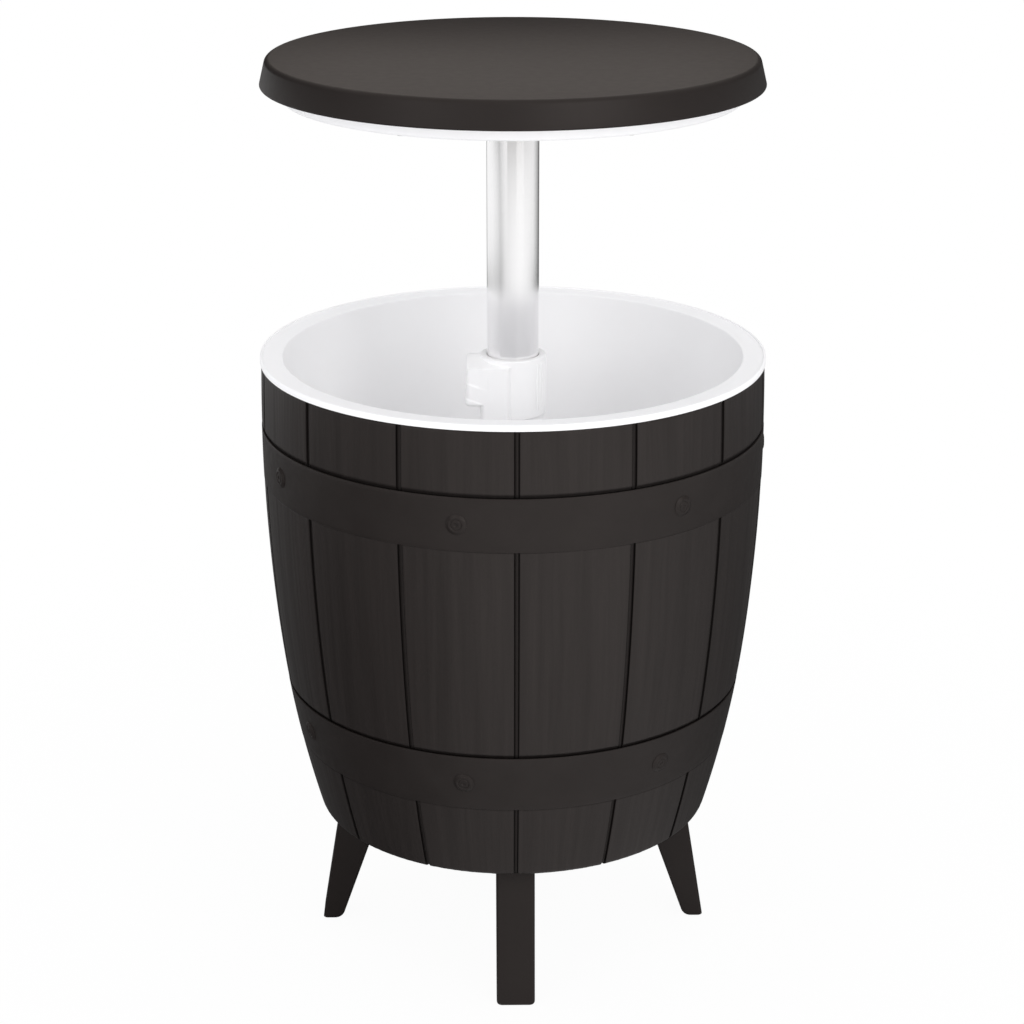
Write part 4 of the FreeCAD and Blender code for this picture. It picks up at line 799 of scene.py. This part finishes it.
# the pieces that keep the frame's own mesh only need a finish
for node, finish in {
    "lock_collet": "greyNylon", "base_plate": "darkResin",
    "guide_tube": "greyNylon", "drain_tube": "whiteResin", "drain_seal": "rubber", "drain_nut": "greyNylon",
    "drain_plug": "greyNylon", "plug_ring_seal": "rubber", "pole_glide_bush": "greyNylon",
    "pole_head": "greyNylon", "pole_end_plug": "greyNylon", "pole_end_washer": "zinc",
    "pole_end_screw": "zinc", "tub_screws": "zinc", "base_screws": "zinc", "leg_bolts": "zinc",
    "leg_washers": "zinc", "liner_screws": "zinc", "pole_head_screws": "zinc", "pole_set_screws": "zinc",
}.items():
    dress(node, finish)
print("small pieces dressed")


studio = {    # lengths in metres
    "floorSize": 60.0, "floorColour": (0.86, 0.86, 0.86), "floorRough": 0.9,
    "floorWhite": (0.955, 1.0), "floorFade": (0.30, 1.2),    # share of white near the feet and away
    "worldColour": (0.98, 0.985, 1.0), "worldStrength": 0.98,
    # what mirrors see of the room, as a share of its white: degrees round from the camera's side, positive
    # to the right; the floor near the object and the floor further out, both painted reflection that the
    # floor glows with toward mirrors, and the walls above
    "nearFloor": [(-180, 0.06), (-150, 0.2), (-130, 0.20), (-112, 0.17), (-96, 0.12), (-80, 0.05),
                  (-58, 0.05), (-42, 0.27), (-26, 0.65), (-5, 0.92), (30, 1.0), (60, 0.86), (80, 0.5),
                  (100, 0.18), (120, 0.1), (180, 0.08)],
    "farFloor": [(-180, 0.1), (-162, 0.15), (-152, 0.95), (-100, 1.0), (-72, 0.9), (-55, 0.72), (-36, 0.88),
                 (-9, 0.97), (35, 1.0), (74, 0.99), (98, 0.90), (118, 0.62), (134, 0.4), (150, 0.15),
                 (180, 0.1)],
    "walls": [(-180, 0.03), (-150, 0.02), (-60, 0.06), (-20, 0.27), (20, 0.29), (84, 0.26), (115, 0.16),
              (150, 0.10), (180, 0.03)],
    "wallTint": (1.0, 0.94, 0.90), "farFrom": (2.3, 2.7),
    "ceiling": 0.8, "ceilingFrom": (0.42, 0.77),    # share of white high up, and the sines where it starts
    # painted shadow: the floor's glow toward mirrors darkens near the feet, standing in for the object's
    # shadow
    "paintedFootShadow": 0.6, "footReach": (0.3, 1.1),
    # place, aim, width and depth, watts, spread in degrees, colour; the spread of the lamp behind the
    # lid holds its light off the tub's rim
    "lamps": {
        "key": ((1.4, -2.3, 1.85), (0.0, 0.0, 0.45), (1.8, 1.8), 25, 180, (1.0, 0.99, 0.98)),
        "fill": ((-1.9, -2.2, 1.7), (0.0, 0.0, 0.45), (1.8, 1.8), 15, 180, (1.0, 0.995, 1.0)),
        "lidGlow": ((0.0, 0.4, 1.0925), (0.0, 0.0, 0.8425), (0.6, 0.12), 0.052, 60, (1.0, 0.92, 0.85)),
    },
}
cameraSet = {"focal": 90.42, "sensor": 36, "distance": 2.2609, "height": 1.2222, "pitch": 19.62,
             "turn": 0.85, "aside": 0.0008}


def seenPath(tree):
    # 1 for light that the camera, a mirror or glass sees, 0 for all other light
    path = addNode(tree, "ShaderNodeLightPath")
    seen = path.outputs["Is Camera Ray"]
    for other in ("Is Glossy Ray", "Is Transmission Ray"):
        either = addNode(tree, "ShaderNodeMath", {"operation": "MAXIMUM"}, i0=seen,
                         i1=path.outputs[other])
        seen = either.outputs[0]
    return path, seen


def roomShare(tree, direction, stops):
    # share of white by the bearing of a direction: the angle from the camera's side, looked up in a ramp
    parts = addNode(tree, "ShaderNodeSeparateXYZ", i0=direction)
    front = addNode(tree, "ShaderNodeMath", {"operation": "MULTIPLY"}, i0=parts.outputs[1], i1=-1.0)
    bearing = addNode(tree, "ShaderNodeMath", {"operation": "ARCTAN2"}, i0=parts.outputs[0],
                      i1=front.outputs[0])
    turn = addNode(tree, "ShaderNodeMapRange", Value=bearing.outputs[0], i1=-math.pi, i2=math.pi)
    return rampNode(tree, turn.outputs[0], [((a + 180) / 360, (v, v, v)) for a, v in stops]).outputs[0]


def makeWorld():
    # plain white to the camera, a room with a few dimmer sides to mirrors, even light to the rest
    world = bpy.data.worlds.new("studio")
    bpy.context.scene.world = world
    world.use_nodes = True
    tree = world.node_tree
    even = tree.nodes["Background"]
    even.inputs[0].default_value = (*studio["worldColour"], 1)
    even.inputs[1].default_value = studio["worldStrength"]
    path, seen = seenPath(tree)
    direction = addNode(tree, "ShaderNodeTexCoord").outputs["Generated"]
    walls = roomShare(tree, direction, studio["walls"])
    height = addNode(tree, "ShaderNodeSeparateXYZ", i0=direction).outputs[2]
    start, finish = studio["ceilingFrom"]
    up = addNode(tree, "ShaderNodeMapRange", Value=height, i1=start, i2=finish)
    walls = addNode(tree, "ShaderNodeMix", {"data_type": "RGBA"}, Factor=up.outputs[0], i6=walls,
                    i7=(studio["ceiling"],) * 3 + (1,)).outputs[2]
    tinted = addNode(tree, "ShaderNodeVectorMath", {"operation": "MULTIPLY"}, i0=walls,
                     i1=studio["wallTint"])
    view = addNode(tree, "ShaderNodeMix", {"data_type": "RGBA"}, Factor=path.outputs["Is Camera Ray"],
                   i6=tinted.outputs[0], i7=(1, 1, 1, 1))
    shown = addNode(tree, "ShaderNodeBackground", Color=view.outputs[2], Strength=1.0)
    mix = addNode(tree, "ShaderNodeMixShader", i0=seen, i1=even.outputs[0], i2=shown.outputs[0])
    tree.links.new(mix.outputs[0], tree.nodes["World Output"].inputs["Surface"])


def makeFloor():
    # white to the camera with the real shadow kept faintly near the feet; toward mirrors the floor glows
    # with a painted reflection of a room whose white goes by bearing, in a near and a far ring, with painted
    # shadow close to the feet
    half = studio["floorSize"] / 2
    mesh = bpy.data.meshes.new("floor")
    mesh.from_pydata([(-half, -half, 0), (half, -half, 0), (half, half, 0), (-half, half, 0)], [],
                     [(0, 1, 2, 3)])
    floor = bpy.data.objects.new("floor", mesh)
    bpy.context.scene.collection.objects.link(floor)
    material, tree, shader = newMaterial("pale floor")
    shader.inputs["Base Color"].default_value = (*studio["floorColour"], 1)
    shader.inputs["Roughness"].default_value = studio["floorRough"]
    path, seen = seenPath(tree)
    spot = addNode(tree, "ShaderNodeTexCoord").outputs["Object"]
    away = addNode(tree, "ShaderNodeVectorMath", {"operation": "LENGTH"}, i0=spot).outputs["Value"]
    fade = addNode(tree, "ShaderNodeMapRange", Value=away, i1=studio["floorFade"][0],
                   i2=studio["floorFade"][1], i3=studio["floorWhite"][0], i4=studio["floorWhite"][1])
    factor = addNode(tree, "ShaderNodeMath", {"operation": "MULTIPLY"}, i0=seen, i1=fade.outputs[0])
    # painted reflection: toward mirrors the floor glows with a made-up room's white by bearing, darkened
    # near the feet as painted shadow
    near = roomShare(tree, spot, studio["nearFloor"])
    dim = addNode(tree, "ShaderNodeMapRange", Value=away, i1=studio["footReach"][0],
                  i2=studio["footReach"][1], i3=studio["paintedFootShadow"], i4=1.0)
    near = addNode(tree, "ShaderNodeVectorMath", {"operation": "SCALE"}, i0=near, Scale=dim.outputs[0])
    far = roomShare(tree, spot, studio["farFloor"])
    out = addNode(tree, "ShaderNodeMapRange", Value=away, i1=studio["farFrom"][0], i2=studio["farFrom"][1])
    room = addNode(tree, "ShaderNodeMix", {"data_type": "RGBA"}, Factor=out.outputs[0], i6=near.outputs[0],
                   i7=far)
    view = addNode(tree, "ShaderNodeMix", {"data_type": "RGBA"}, Factor=path.outputs["Is Camera Ray"],
                   i6=room.outputs[2], i7=(1, 1, 1, 1))
    white = addNode(tree, "ShaderNodeEmission", Color=view.outputs[2], Strength=1.0)
    mix = addNode(tree, "ShaderNodeMixShader", i0=factor.outputs[0], i1=shader.outputs[0],
                  i2=white.outputs[0])
    tree.links.new(mix.outputs[0], tree.nodes["Material Output"].inputs["Surface"])
    floor.data.materials.append(material)


def makeLamps():
    # area lamps, each turned to its aim, that the camera doesn't see
    for name, (spot, aim, size, watts, spread, colour) in studio["lamps"].items():
        lamp = bpy.data.lights.new(name, "AREA")
        lamp.shape = "RECTANGLE"
        lamp.size, lamp.size_y = size
        lamp.energy = watts
        lamp.color = colour
        lamp.spread = math.radians(spread)
        holder = bpy.data.objects.new(name, lamp)
        holder.location = spot
        holder.rotation_euler = (Vector(aim) - Vector(spot)).to_track_quat("-Z", "Y").to_euler()
        holder.visible_camera = False
        bpy.context.scene.collection.objects.link(holder)


def makeCamera():
    # in front of the object and above it, turned a little round the pole's axis and tipped down
    c = cameraSet
    turn = math.radians(c["turn"])
    camera = bpy.data.cameras.new("camera")
    camera.lens = c["focal"]
    camera.sensor_width = c["sensor"]
    holder = bpy.data.objects.new("camera", camera)
    across = -c["aside"]
    holder.location = (-c["distance"] * math.sin(turn) + across * math.cos(turn),
                       -c["distance"] * math.cos(turn) - across * math.sin(turn), c["height"])
    holder.rotation_euler = (math.radians(90 - c["pitch"]), 0, -turn)
    bpy.context.scene.collection.objects.link(holder)
    bpy.context.scene.camera = holder


makeWorld()
makeFloor()
makeLamps()
makeCamera()
bpy.context.scene.view_settings.view_transform = "Standard"
print("studio ready")
